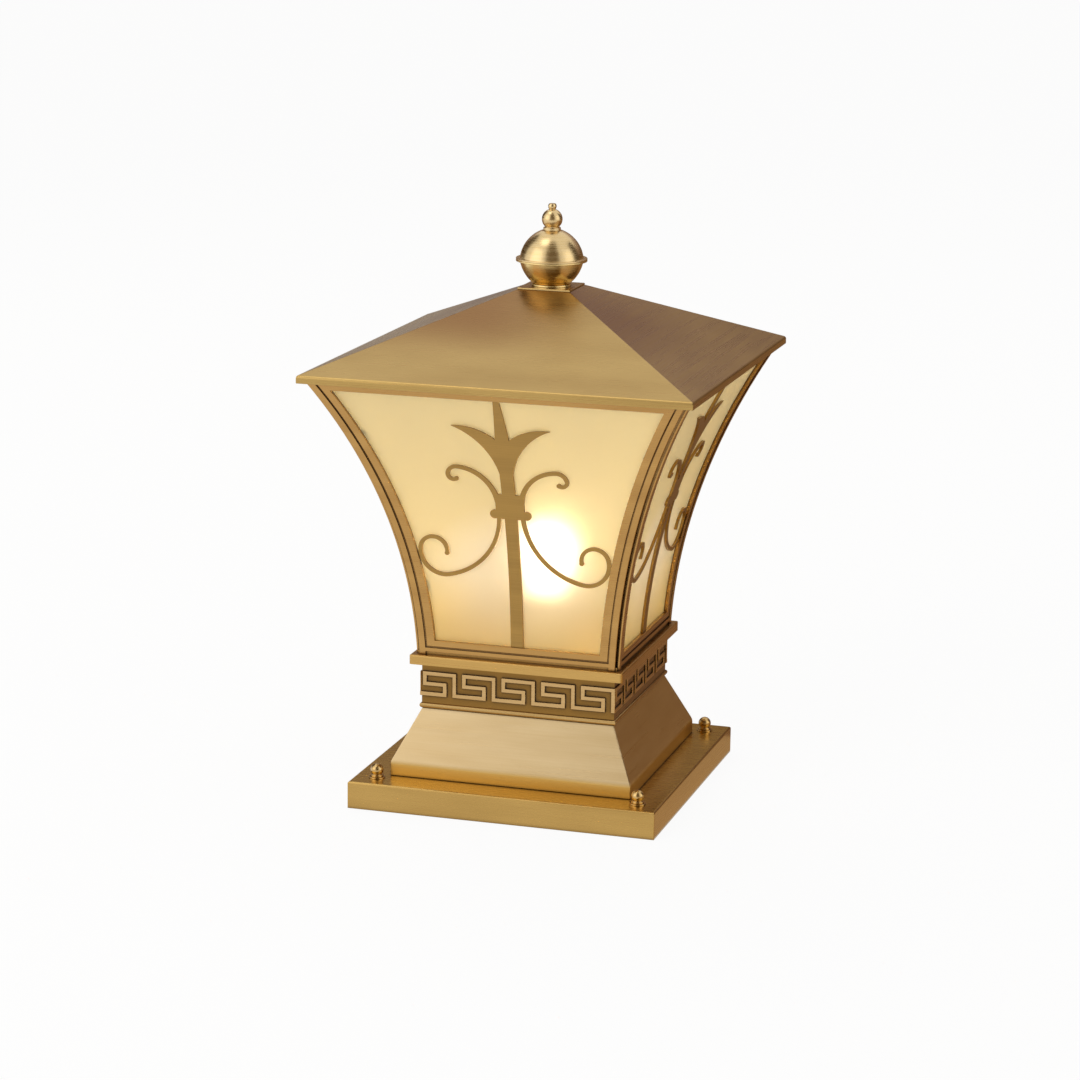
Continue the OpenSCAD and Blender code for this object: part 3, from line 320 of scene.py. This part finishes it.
def patina_and_painted_shade(material, tone, reach, amount=0.8):
    """Darkens the corners and joints where other surfaces stand near: partly dark patina, partly painted
    shade.
    """
    tree = material.node_tree
    open_air = add_node(tree, "ShaderNodeAmbientOcclusion", {"Distance": reach}, samples=6)
    sheltered = add_node(tree, "ShaderNodeMapRange", {
        "Value": open_air.outputs["AO"], "From Min": 0.85, "From Max": 0.45, "To Max": amount})
    toned(material, tone, sheltered.outputs[0])


def body_of(node):
    """The CAD body that a node belongs to."""
    return next(b for b, nodes in frame["record"]["behaviour"]["bodies"].items() if node in nodes)


SHARP = math.radians(25)
FLAT = math.radians(0.5)
SAME_POINT = 0.001 * MM


def stand_in(piece, node, material):
    """Gives a new piece its finish and puts it in the place of a CAD node."""
    piece.data.materials.clear()
    piece.data.materials.append(material)
    for face in piece.data.polygons:
        face.material_index = 0
    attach(piece, body_of(node))
    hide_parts(node)


def applied(piece):
    """Turns a piece with its modifiers into a plain mesh."""
    shown_piece = piece.evaluated_get(bpy.context.evaluated_depsgraph_get())
    plain = bpy.data.meshes.new_from_object(shown_piece)
    piece.modifiers.clear()
    piece.data = plain


def clean_copy(node):
    """A copy of a CAD piece with its loose triangles merged and its flat faces whole."""
    piece = bpy.data.objects.new(node + "_finished", frame["nodes"][node].data.copy())
    bpy.context.scene.collection.objects.link(piece)
    shape = bmesh.new()
    shape.from_mesh(piece.data)
    bmesh.ops.remove_doubles(shape, verts=shape.verts, dist=SAME_POINT)
    bmesh.ops.dissolve_limit(shape, angle_limit=FLAT, verts=shape.verts, edges=shape.edges)
    shape.to_mesh(piece.data)
    shape.free()
    return piece


def smoothed(piece):
    """Shades curves smooth and keeps flat faces flat."""
    for face in piece.data.polygons:
        face.use_smooth = True
    piece.data.set_sharp_from_angle(angle=SHARP)
    evened = piece.modifiers.new("flat_faces", "WEIGHTED_NORMAL")
    evened.keep_sharp = True
    evened.weight = 100
    applied(piece)


def finished(node, material, edge=0.0, segments=2):
    """Puts a clean copy of a CAD piece in its place, with its edges rounded to a radius."""
    piece = clean_copy(node)
    if edge:
        rounding = piece.modifiers.new("edge", "BEVEL")
        rounding.width = edge
        rounding.segments = segments
        rounding.limit_method = "ANGLE"
        rounding.angle_limit = SHARP
        rounding.use_clamp_overlap = True
        applied(piece)
    smoothed(piece)
    stand_in(piece, node, material)
    return piece


def dress(node, material):
    """Gives a CAD piece its finish."""
    data = frame["nodes"][node].data
    data.materials.clear()
    data.materials.append(material)


tray_brass = brushed_brass("brushed_antique_brass_tray", "#CBA45C", "#A27E40", 0.27, 0.14)
# The top is painted yellower than the turned-down sides, a painted reflection of the brass above it.
tree = tray_brass.node_tree
facing = add_node(tree, "ShaderNodeSeparateXYZ", {0: add_node(tree, "ShaderNodeTexCoord").outputs["Normal"]})
painted_top_reflection = add_node(tree, "ShaderNodeMapRange", {"Value": facing.outputs["Z"], "From Min": 0.9, "To Max": 0.7})
toned(tray_brass, "#E8C050", painted_top_reflection.outputs[0])
# Dark patina and painted shade in the tray's corners and joints.
patina_and_painted_shade(tray_brass, PATINA_AND_SHADE, 4 * MM)
finished("base_tray", tray_brass, 0.6 * MM)

# Mounting plate, studs, cable bush and terminals.
# A zinc-plated steel plate that stays on the pillar, with four M5 studs pressed in, a black rubber bush for
# the cable, a nylon terminal block and a brass earth screw.
SPANGLE = 4 * MM
plated_steel, tree = bare_material("zinc_plated_steel")
where = add_node(tree, "ShaderNodeTexCoord")
spangle = add_node(tree, "ShaderNodeTexNoise", {
    "Vector": where.outputs["Object"], "Scale": 1 / SPANGLE, "Detail": 3.0})
zinc = add_node(tree, "ShaderNodeMix", {
    "Factor": spangle.outputs[0], 6: linear("#A9ABAB"), 7: linear("#CBCCC9")}, data_type="RGBA")
zinc_rough = add_node(tree, "ShaderNodeMapRange", {
    "Value": spangle.outputs[0], "To Min": 0.28, "To Max": 0.5})
zinc_metal = add_node(tree, "ShaderNodeBsdfPrincipled", {
    "Base Color": zinc.outputs[2], "Metallic": 1.0, "Roughness": zinc_rough.outputs[0]})
add_node(tree, "ShaderNodeOutputMaterial", {"Surface": zinc_metal.outputs[0]})


def plain_finish(name, light, dark, grain, roughness, **sockets):
    """A moulded or glazed finish with a faint mottle of the given grain size."""
    material, tree = bare_material(name)
    where = add_node(tree, "ShaderNodeTexCoord")
    mottle = add_node(tree, "ShaderNodeTexNoise", {
        "Vector": where.outputs["Object"], "Scale": 1 / grain, "Detail": 3.0})
    colour = add_node(tree, "ShaderNodeMix", {
        "Factor": mottle.outputs[0], 6: linear(dark), 7: linear(light)}, data_type="RGBA")
    surface = add_node(tree, "ShaderNodeBsdfPrincipled", {
        "Base Color": colour.outputs[2], "Roughness": roughness})
    for socket, value in sockets.items():
        surface.inputs[socket.replace("_", " ")].default_value = value
    add_node(tree, "ShaderNodeOutputMaterial", {"Surface": surface.outputs[0]})
    return material


black_rubber = plain_finish("black_rubber", "#1E1E1E", "#121212", 2 * MM, 0.6)
nylon = plain_finish("natural_nylon", "#E9E4D2", "#D8D2BC", 3 * MM, 0.45)
bright_brass = plain_finish("bright_turned_brass", "#D9B76A", "#C7A257", 1.5 * MM, 0.28, Metallic=1.0)


def thread_tree(name):
    """A Geometry Nodes tree for a threaded bar: a grid rolled round the axis, with a helix cut in it."""
    tree = bpy.data.node_groups.new(name, "GeometryNodeTree")
    numbers = ("Radius", "Pitch", "Depth", "Foot", "Length", "Tip Radius", "Tip Slope", "Roundness")
    for label in numbers:
        tree.interface.new_socket(label, in_out="INPUT", socket_type="NodeSocketFloat")
    for label in ("Columns", "Rows"):
        tree.interface.new_socket(label, in_out="INPUT", socket_type="NodeSocketInt")
    tree.interface.new_socket("Material", in_out="INPUT", socket_type="NodeSocketMaterial")
    tree.interface.new_socket("Geometry", in_out="OUTPUT", socket_type="NodeSocketGeometry")
    given = tree.nodes.new("NodeGroupInput").outputs

    def sum_of(operation, a, b=0.0, c=0.0):
        return add_node(tree, "ShaderNodeMath", {0: a, 1: b, 2: c}, operation=operation).outputs[0]

    grid = add_node(tree, "GeometryNodeMeshGrid", {
        "Size X": 1.0, "Size Y": 1.0, "Vertices X": given["Columns"], "Vertices Y": given["Rows"]})
    place = add_node(tree, "ShaderNodeSeparateXYZ", {
        0: add_node(tree, "GeometryNodeInputPosition").outputs[0]})
    turn = sum_of("MULTIPLY", place.outputs["X"], 2 * math.pi)
    row = sum_of("MULTIPLY", sum_of("ADD", place.outputs["Y"], 0.5), sum_of("SUBTRACT", given["Rows"], 1.0))
    # The first and the last row close the ends, so the rows between them share the length.
    inner = sum_of("DIVIDE", sum_of("SUBTRACT", row, 1.0), sum_of("SUBTRACT", given["Rows"], 3.0))
    share = add_node(tree, "ShaderNodeClamp", {0: inner}).outputs[0]
    up = sum_of("MULTIPLY", share, given["Length"])
    helix = sum_of("FRACT", sum_of("SUBTRACT", sum_of("DIVIDE", up, given["Pitch"]), place.outputs["X"]))
    angular = sum_of("ABSOLUTE", sum_of("MULTIPLY_ADD", helix, 2.0, -1.0))
    rolled = sum_of("MULTIPLY_ADD", sum_of("COSINE", sum_of("MULTIPLY", helix, 2 * math.pi)), 0.5, 0.5)
    groove = add_node(tree, "ShaderNodeMix", {"Factor": given["Roundness"], 2: angular, 3: rolled}).outputs[0]
    crest = sum_of("SUBTRACT", given["Radius"], sum_of("MULTIPLY", groove, given["Depth"]))
    from_end = sum_of("MINIMUM", up, sum_of("SUBTRACT", given["Length"], up))
    tip = sum_of("MULTIPLY_ADD", from_end, given["Tip Slope"], given["Tip Radius"])
    outer = sum_of("MINIMUM", crest, tip)
    at_end = sum_of("ADD", sum_of("LESS_THAN", row, 0.5),
                    sum_of("GREATER_THAN", row, sum_of("SUBTRACT", given["Rows"], 1.5)))
    radius = sum_of("MULTIPLY", outer, sum_of("SUBTRACT", 1.0, at_end))
    point = add_node(tree, "ShaderNodeCombineXYZ", {
        0: sum_of("MULTIPLY", radius, sum_of("COSINE", turn)),
        1: sum_of("MULTIPLY", radius, sum_of("SINE", turn)),
        2: sum_of("ADD", up, given["Foot"])})
    bar = add_node(tree, "GeometryNodeSetPosition", {
        "Geometry": grid.outputs["Mesh"], "Position": point.outputs[0]})
    closed = add_node(tree, "GeometryNodeMergeByDistance", {
        "Geometry": bar.outputs[0], "Distance": 2 * SAME_POINT})
    whole = add_node(tree, "GeometryNodeRealizeInstances", {0: closed.outputs[0]})
    dressed = add_node(tree, "GeometryNodeSetMaterial", {
        "Geometry": whole.outputs[0], "Material": given["Material"]})
    add_node(tree, "NodeGroupOutput", {0: dressed.outputs[0]})
    return tree


THREAD_SHARP = math.radians(50)


def grown(name, tree, values):
    """Runs a Geometry Nodes tree with the given inputs and keeps its result as a plain mesh."""
    piece = bpy.data.objects.new(name, bpy.data.meshes.new(name))
    bpy.context.scene.collection.objects.link(piece)
    maker = piece.modifiers.new("maker", "NODES")
    maker.node_group = tree
    for item in tree.interface.items_tree:
        if item.in_out == "INPUT":
            maker[item.identifier] = values[item.name]
    applied(piece)
    for face in piece.data.polygons:
        face.use_smooth = True
    piece.data.set_sharp_from_angle(angle=THREAD_SHARP)
    return piece


THREAD_COLUMNS = 25
ROWS_PER_TURN = 6
BAR = thread_tree("threaded_bar")


def threaded_bar(name, radius, pitch, depth, foot, length, material, tip=None, slope=1.0, roundness=0.0):
    """One threaded bar on the object's axis."""
    return grown(name, BAR, {
        "Radius": radius, "Pitch": pitch, "Depth": depth, "Foot": foot, "Length": length,
        "Tip Radius": tip or radius - depth, "Tip Slope": slope, "Roundness": roundness,
        "Columns": THREAD_COLUMNS, "Rows": int(length / pitch * ROWS_PER_TURN) + 3, "Material": material})


M5_RADIUS, M5_PITCH, M5_DEPTH = 2.5 * MM, 0.8 * MM, 0.45 * MM
COLLAR_RADIUS, COLLAR_FOOT, COLLAR_TOP = 4.5 * MM, 3 * MM, 5 * MM
COLLAR_SIDES = 48
low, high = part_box("anchor_studs")
stud = threaded_bar("stud_bar", M5_RADIUS, M5_PITCH, M5_DEPTH, low[2], high[2] - low[2], plated_steel)
STUD_AT = high[0] - COLLAR_RADIUS
collared = bmesh.new()
collared.from_mesh(stud.data)
bmesh.ops.create_cone(collared, cap_ends=True, segments=COLLAR_SIDES, radius1=COLLAR_RADIUS,
                      radius2=COLLAR_RADIUS, depth=COLLAR_TOP - COLLAR_FOOT,
                      matrix=Matrix.Translation((0, 0, (COLLAR_TOP + COLLAR_FOOT) / 2)))
collared.to_mesh(stud.data)
collared.free()
studs = bmesh.new()
for x in (-STUD_AT, STUD_AT):
    for y in (-STUD_AT, STUD_AT):
        placed = stud.data.copy()
        placed.transform(Matrix.Translation((x, y, 0)))
        studs.from_mesh(placed)
stud_set = bpy.data.objects.new("anchor_studs_threaded", bpy.data.meshes.new("anchor_studs_threaded"))
studs.to_mesh(stud_set.data)
studs.free()
bpy.context.scene.collection.objects.link(stud_set)
bpy.data.objects.remove(stud)
for face in stud_set.data.polygons:
    face.use_smooth = True
stud_set.data.set_sharp_from_angle(angle=THREAD_SHARP)
stand_in(stud_set, "anchor_studs", plated_steel)

finished("mounting_plate", plated_steel, 0.3 * MM)
dress("cable_bush", black_rubber)
finished("terminal_block", nylon, 0.5 * MM)
dress("earth_screw", bright_brass)

# Anchor washers and ball nuts.
# Turned brass ball nuts on brass washers, one at each corner of the tray: they hold the light to its plate.
turned_brass = brushed_brass("turned_antique_brass", "#DDBF82", "#B48C50", 0.2)
CORNERS = ("front_left", "front_right", "back_right", "back_left")
for corner in CORNERS:
    finished(corner + "_washer", turned_brass, 0.2 * MM)
    finished(corner + "_nut", turned_brass, 0.3 * MM)

# Skirt and bead.
# Folded brass skirt, brushed along each side, under a half-round brass bead that hides the joint with the
# neck. Its upright foot band is painted yellower, a painted reflection of the tray.
FOOT_BAND_TOP = 31 * MM
skirt_brass = brushed_brass("brushed_pale_brass_skirt", "#DEC598", "#BC9C68", 0.33, 0.2)
tree = skirt_brass.node_tree
height = add_node(tree, "ShaderNodeSeparateXYZ", {0: add_node(tree, "ShaderNodeTexCoord").outputs["Object"]})
painted_tray_reflection = add_node(tree, "ShaderNodeMapRange", {
    "Value": height.outputs["Z"], "From Min": FOOT_BAND_TOP + 2 * MM, "From Max": FOOT_BAND_TOP - 1 * MM,
    "To Max": 0.8})
toned(skirt_brass, "#D0A44A", painted_tray_reflection.outputs[0])
# Dark patina and painted shade in the skirt's corners and joints.
patina_and_painted_shade(skirt_brass, PATINA_AND_SHADE, 3 * MM)
finished("plinth_skirt", skirt_brass, 0.6 * MM)
bead_brass = brushed_brass("brushed_antique_brass_bead", "#CFAB6C", "#94703A", 0.25)
# Dark patina and painted shade in the bead's corners and joints.
patina_and_painted_shade(bead_brass, PATINA_AND_SHADE, 3 * MM)
finished("neck_bead", bead_brass)

# Key strips.
# Cast brass strips with a Greek key in relief, mitred at the corners: the lines are rounded and rubbed
# bright, the field is brown, and the corners under the lines are darkened, partly dark patina, partly painted
# shade.
SIDES = ("front", "right", "back", "left")
KEY_FIELD = 75.8 * MM
KEY_FACE = 77.0 * MM
KEY_ROUND = 0.8 * MM
KEY_SHELTER = 5 * MM
ON_FACE = 0.01 * MM
key_brass = brushed_brass("cast_brass_key", "#D8B680", "#B48C52", 0.3)
tree = key_brass.node_tree
where = add_node(tree, "ShaderNodeTexCoord")
away = add_node(tree, "ShaderNodeVectorMath", {0: where.outputs["Object"]}, operation="ABSOLUTE")
split = add_node(tree, "ShaderNodeSeparateXYZ", {0: away.outputs[0]})
stand = add_node(tree, "ShaderNodeMath", {0: split.outputs["X"], 1: split.outputs["Y"]}, operation="MAXIMUM")
sunk = add_node(tree, "ShaderNodeMapRange", {
    "Value": stand.outputs[0], "From Min": KEY_FACE - 0.3 * MM, "From Max": KEY_FIELD + 0.3 * MM})
sheltered = add_node(tree, "ShaderNodeAmbientOcclusion", {
    "Distance": KEY_SHELTER}, samples=8, only_local=True)
open_field = add_node(tree, "ShaderNodeMapRange", {
    "Value": sheltered.outputs["AO"], "From Min": 0.6, "From Max": 1.0})
# Where the lines stand near, the field is painted dark: partly dark patina, partly painted shade.
field = add_node(tree, "ShaderNodeMix", {
    "Factor": open_field.outputs[0], 6: linear("#221404"), 7: linear("#8A6428")}, data_type="RGBA")
toned(key_brass, field.outputs[2], sunk.outputs[0])
for side in SIDES:
    strip = clean_copy(side + "_key_strip")
    shape = bmesh.new()
    shape.from_mesh(strip.data)
    along = 0 if side in ("front", "back") else 1
    lines = []
    for edge in shape.edges:
        at_face = all(abs(abs(v.co[1 - along]) - KEY_FACE) < ON_FACE for v in edge.verts)
        at_mitre = all(abs(v.co[along]) > KEY_FACE - ON_FACE for v in edge.verts)
        if at_face and not at_mitre:
            lines.append(edge)
    bmesh.ops.bevel(shape, geom=lines, offset=KEY_ROUND, segments=3, profile=0.5, affect="EDGES",
                    clamp_overlap=True)
    shape.to_mesh(strip.data)
    shape.free()
    smoothed(strip)
    stand_in(strip, side + "_key_strip", key_brass)

# Ledge and lantern ring.
# A folded brass ledge caps the neck, and a thin brass ring screwed through it carries the lantern.
ledge_brass = brushed_brass("brushed_antique_brass_ledge", "#DDB468", "#AE8444", 0.3, 0.14)
# Dark patina and painted shade in the ledge's and the ring's corners and joints.
patina_and_painted_shade(ledge_brass, PATINA_AND_SHADE, 3 * MM)
finished("ledge_plate", ledge_brass, 0.6 * MM, 3)
finished("lantern_ring", ledge_brass, 0.3 * MM)
dress("ring_screws", plated_steel)

# Side frames and corner posts.
# Curved brass frames, each a proud outer strip, a groove and a flat inner stile, with corner posts behind
# the gap between two frames, painted dark brown as painted shade in the gap.
frame_brass = brushed_brass("brushed_antique_brass_frame", "#CEA25E", "#A0743A", 0.3, 0.08, 0.3)
# Dark patina and painted shade in the frames' groove and corners.
patina_and_painted_shade(frame_brass, "#3E2610", 3 * MM, 0.9)
# The posts' dark brown is painted shade in the gap between the frames.
painted_shade_brass = brushed_brass("post_brass_painted_shade", "#7A4E20", "#5A3814", 0.42)
for side in SIDES:
    finished(side + "_frame", frame_brass, 0.35 * MM)
for corner in CORNERS:
    finished(corner + "_post", painted_shade_brass)

# Panes.
# Slumped glass, 3 mm thick, frosted inside: it blurs the bulb to a soft bright patch. A painted glow makes it
# glow cream all over, paler in a painted halo round the bulb, yellower away from the bulb and towards the
# foot.
BULB_AT = (0.0, 0.0, 192 * MM)
HALO_START, HALO_END = 90 * MM, 114 * MM
LOW_GLOW_START, LOW_GLOW_END = 180 * MM, 125 * MM
HAZE = 45 * MM
frosted, tree = bare_material("frosted_cream_glass_painted_glow")
where = add_node(tree, "ShaderNodeTexCoord")
offset = add_node(tree, "ShaderNodeVectorMath", {
    0: where.outputs["Object"], 1: BULB_AT}, operation="DISTANCE")
far = add_node(tree, "ShaderNodeMapRange", {
    "Value": offset.outputs["Value"], "From Min": HALO_START, "From Max": HALO_END})
cloud = add_node(tree, "ShaderNodeTexNoise", {
    "Vector": where.outputs["Object"], "Scale": 1 / HAZE, "Detail": 1.0})
spread = add_node(tree, "ShaderNodeMath", {
    0: cloud.outputs[0], 1: 0.3, 2: far.outputs[0]}, operation="MULTIPLY_ADD")
glow = add_node(tree, "ShaderNodeMix", {
    "Factor": spread.outputs[0], 6: linear("#FBEED2"), 7: linear("#F2E1B0")}, data_type="RGBA")
height = add_node(tree, "ShaderNodeSeparateXYZ", {0: where.outputs["Object"]})
low_down = add_node(tree, "ShaderNodeMapRange", {
    "Value": height.outputs["Z"], "From Min": LOW_GLOW_START, "From Max": LOW_GLOW_END, "To Max": 0.75})
glow = add_node(tree, "ShaderNodeMix", {
    "Factor": low_down.outputs[0], 6: glow.outputs[2], 7: linear("#EACD7C")}, data_type="RGBA")
# The cream colour also drives the emission: a painted glow, with a painted halo round the bulb.
pane = add_node(tree, "ShaderNodeBsdfPrincipled", {
    "Base Color": glow.outputs[2], "Roughness": 0.34, "Transmission Weight": 0.6, "IOR": 1.45,
    "Emission Color": glow.outputs[2], "Emission Strength": 0.12})
add_node(tree, "ShaderNodeOutputMaterial", {"Surface": pane.outputs[0]})
for side in SIDES:
    finished(side + "_pane", frosted)
dress("pane_clips", plated_steel)

# Ornaments.
# A lance leaf with scrolls, cut from brass plate, curved to the pane and laid on it inside each frame.
ornament_brass = brushed_brass("cut_brass_ornament", "#B8904A", "#8E6C36", 0.36)
for side in SIDES:
    finished(side + "_ornament", ornament_brass, 0.45 * MM)

# Lamp.
# A porcelain holder on a threaded nipple, and a round opal bulb with a rolled screw cap. The globe is
# brighter towards its top.
porcelain = plain_finish("white_glazed_porcelain", "#F1EEE6", "#E6E1D6", 6 * MM, 0.18, Coat_Weight=0.5)
opal = plain_finish("lit_opal_glass", "#FFF6E4", "#FFF0D6", 8 * MM, 0.25)
opal_surface = next(n for n in opal.node_tree.nodes if n.type == "BSDF_PRINCIPLED")
opal_surface.inputs["Emission Color"].default_value = linear("#FFF4E4")
tree = opal.node_tree
height = add_node(tree, "ShaderNodeSeparateXYZ", {0: add_node(tree, "ShaderNodeTexCoord").outputs["Object"]})
GLOW_FOOT, GLOW_TOP = 165 * MM, 204 * MM
GLOW_DIM, GLOW_FULL = 9.0, 15.0
lamp_glow = add_node(tree, "ShaderNodeMapRange", {
    "Value": height.outputs["Z"], "From Min": GLOW_FOOT, "From Max": GLOW_TOP,
    "To Min": GLOW_DIM, "To Max": GLOW_FULL})
tree.links.new(lamp_glow.outputs[0], opal_surface.inputs["Emission Strength"])
dress("lamp_nipple", bright_brass)
finished("nipple_nut", bright_brass, 0.3 * MM)
finished("holder_base", porcelain, 0.6 * MM)
finished("holder_shell", porcelain, 0.6 * MM)
dress("holder_contact", bright_brass)
dress("bulb_contact", plated_steel)
CAP_PITCH, CAP_DEPTH, CAP_TIP, CAP_SLOPE = 3.62 * MM, 1.1 * MM, 4.5 * MM, 2.0
low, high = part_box("bulb_cap")
cap = threaded_bar("bulb_cap_rolled", high[0], CAP_PITCH, CAP_DEPTH, low[2], high[2] - low[2], plated_steel,
                   tip=CAP_TIP, slope=CAP_SLOPE, roundness=1.0)
stand_in(cap, "bulb_cap", plated_steel)
finished("bulb_globe", opal)

# Top ring, crossbar and roof rod.
# A brass ring ties the frames' tops, and a steel bar across it holds the M6 rod that the roof hangs on.
M6_PITCH, M6_DEPTH = 1.0 * MM, 0.55 * MM
# The top ring takes the posts' dark brown, painted shade.
finished("top_ring", painted_shade_brass, 0.3 * MM)
finished("crossbar", plated_steel, 0.3 * MM)
dress("crossbar_screws", plated_steel)
low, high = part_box("roof_rod")
rod = threaded_bar("roof_rod_threaded", high[0], M6_PITCH, M6_DEPTH, low[2], high[2] - low[2], plated_steel)
stand_in(rod, "roof_rod", plated_steel)
finished("rod_nuts", plated_steel, 0.3 * MM)

# Roof.
# Brass sheet folded to a low pyramid with a turned-down edge, brushed level on all four slopes, with a small
# square plate on its flat top. The upper left third of each slope is painted browner, a painted dark
# reflection.
SHADE_FOOT, SHADE_TOP = 345 * MM, 372 * MM
SHADE_RIGHT, SHADE_LEFT = 30 * MM, -15 * MM
roof_brass = brushed_brass("brushed_antique_brass_roof", "#CBAA66", "#A07C3E", 0.3, 0.1, 0.3)
tree = roof_brass.node_tree
where = add_node(tree, "ShaderNodeTexCoord")
height = add_node(tree, "ShaderNodeSeparateXYZ", {0: where.outputs["Object"]})
across = add_node(tree, "ShaderNodeVectorMath", {0: where.outputs["Normal"], 1: where.outputs["Object"]},
                  operation="CROSS_PRODUCT")
along = add_node(tree, "ShaderNodeSeparateXYZ", {0: across.outputs[0]})
upper = add_node(tree, "ShaderNodeMapRange", {
    "Value": height.outputs["Z"], "From Min": SHADE_FOOT, "From Max": SHADE_TOP},
    interpolation_type="SMOOTHSTEP")
lefthand = add_node(tree, "ShaderNodeMapRange", {
    "Value": along.outputs["Z"], "From Min": SHADE_RIGHT, "From Max": SHADE_LEFT},
    interpolation_type="SMOOTHSTEP")
shaded = add_node(tree, "ShaderNodeMath", {0: upper.outputs[0], 1: lefthand.outputs[0]}, operation="MULTIPLY")
painted_dark_reflection = add_node(tree, "ShaderNodeMath", {0: shaded.outputs[0], 1: 0.9}, operation="MULTIPLY")
# Painted dark reflection on the upper left of each slope.
toned(roof_brass, "#8E6028", painted_dark_reflection.outputs[0])
finished("roof_shell", roof_brass, 0.6 * MM)
# The cap plate's brass is painted paler, a painted highlight for its bright edge.
cap_brass_painted_highlight = brushed_brass("brushed_brass_cap_plate_painted_highlight", "#E0C080", "#BC9656", 0.25, 0.1)
# Dark patina and painted shade where the cap plate meets the roof.
patina_and_painted_shade(cap_brass_painted_highlight, PATINA_AND_SHADE, 3 * MM)
finished("roof_cap_plate", cap_brass_painted_highlight, 0.4 * MM)

# Finial.
# Two spun brass bowls with a rolled rim where they meet, a foot ring, a neck ring and a turned knob.
dome_brass = brushed_brass("spun_brass_dome", "#F0D6A4", "#CBAA6C", 0.28, 0.45, 0.1)
# The bowl and foot are painted paler than the dome: painted light that makes up for the darker reflection of
# brass in brass.
bowl_brass_painted_paler = brushed_brass("spun_brass_bowl_painted_paler", "#F6E0A4", "#DDBC74", 0.24, 0.35, 0.1)
for node in ("finial_foot", "finial_bowl"):
    finished(node, bowl_brass_painted_paler, 0.25 * MM)
for node in ("finial_dome", "finial_ring", "finial_knob"):
    finished(node, dome_brass, 0.25 * MM)
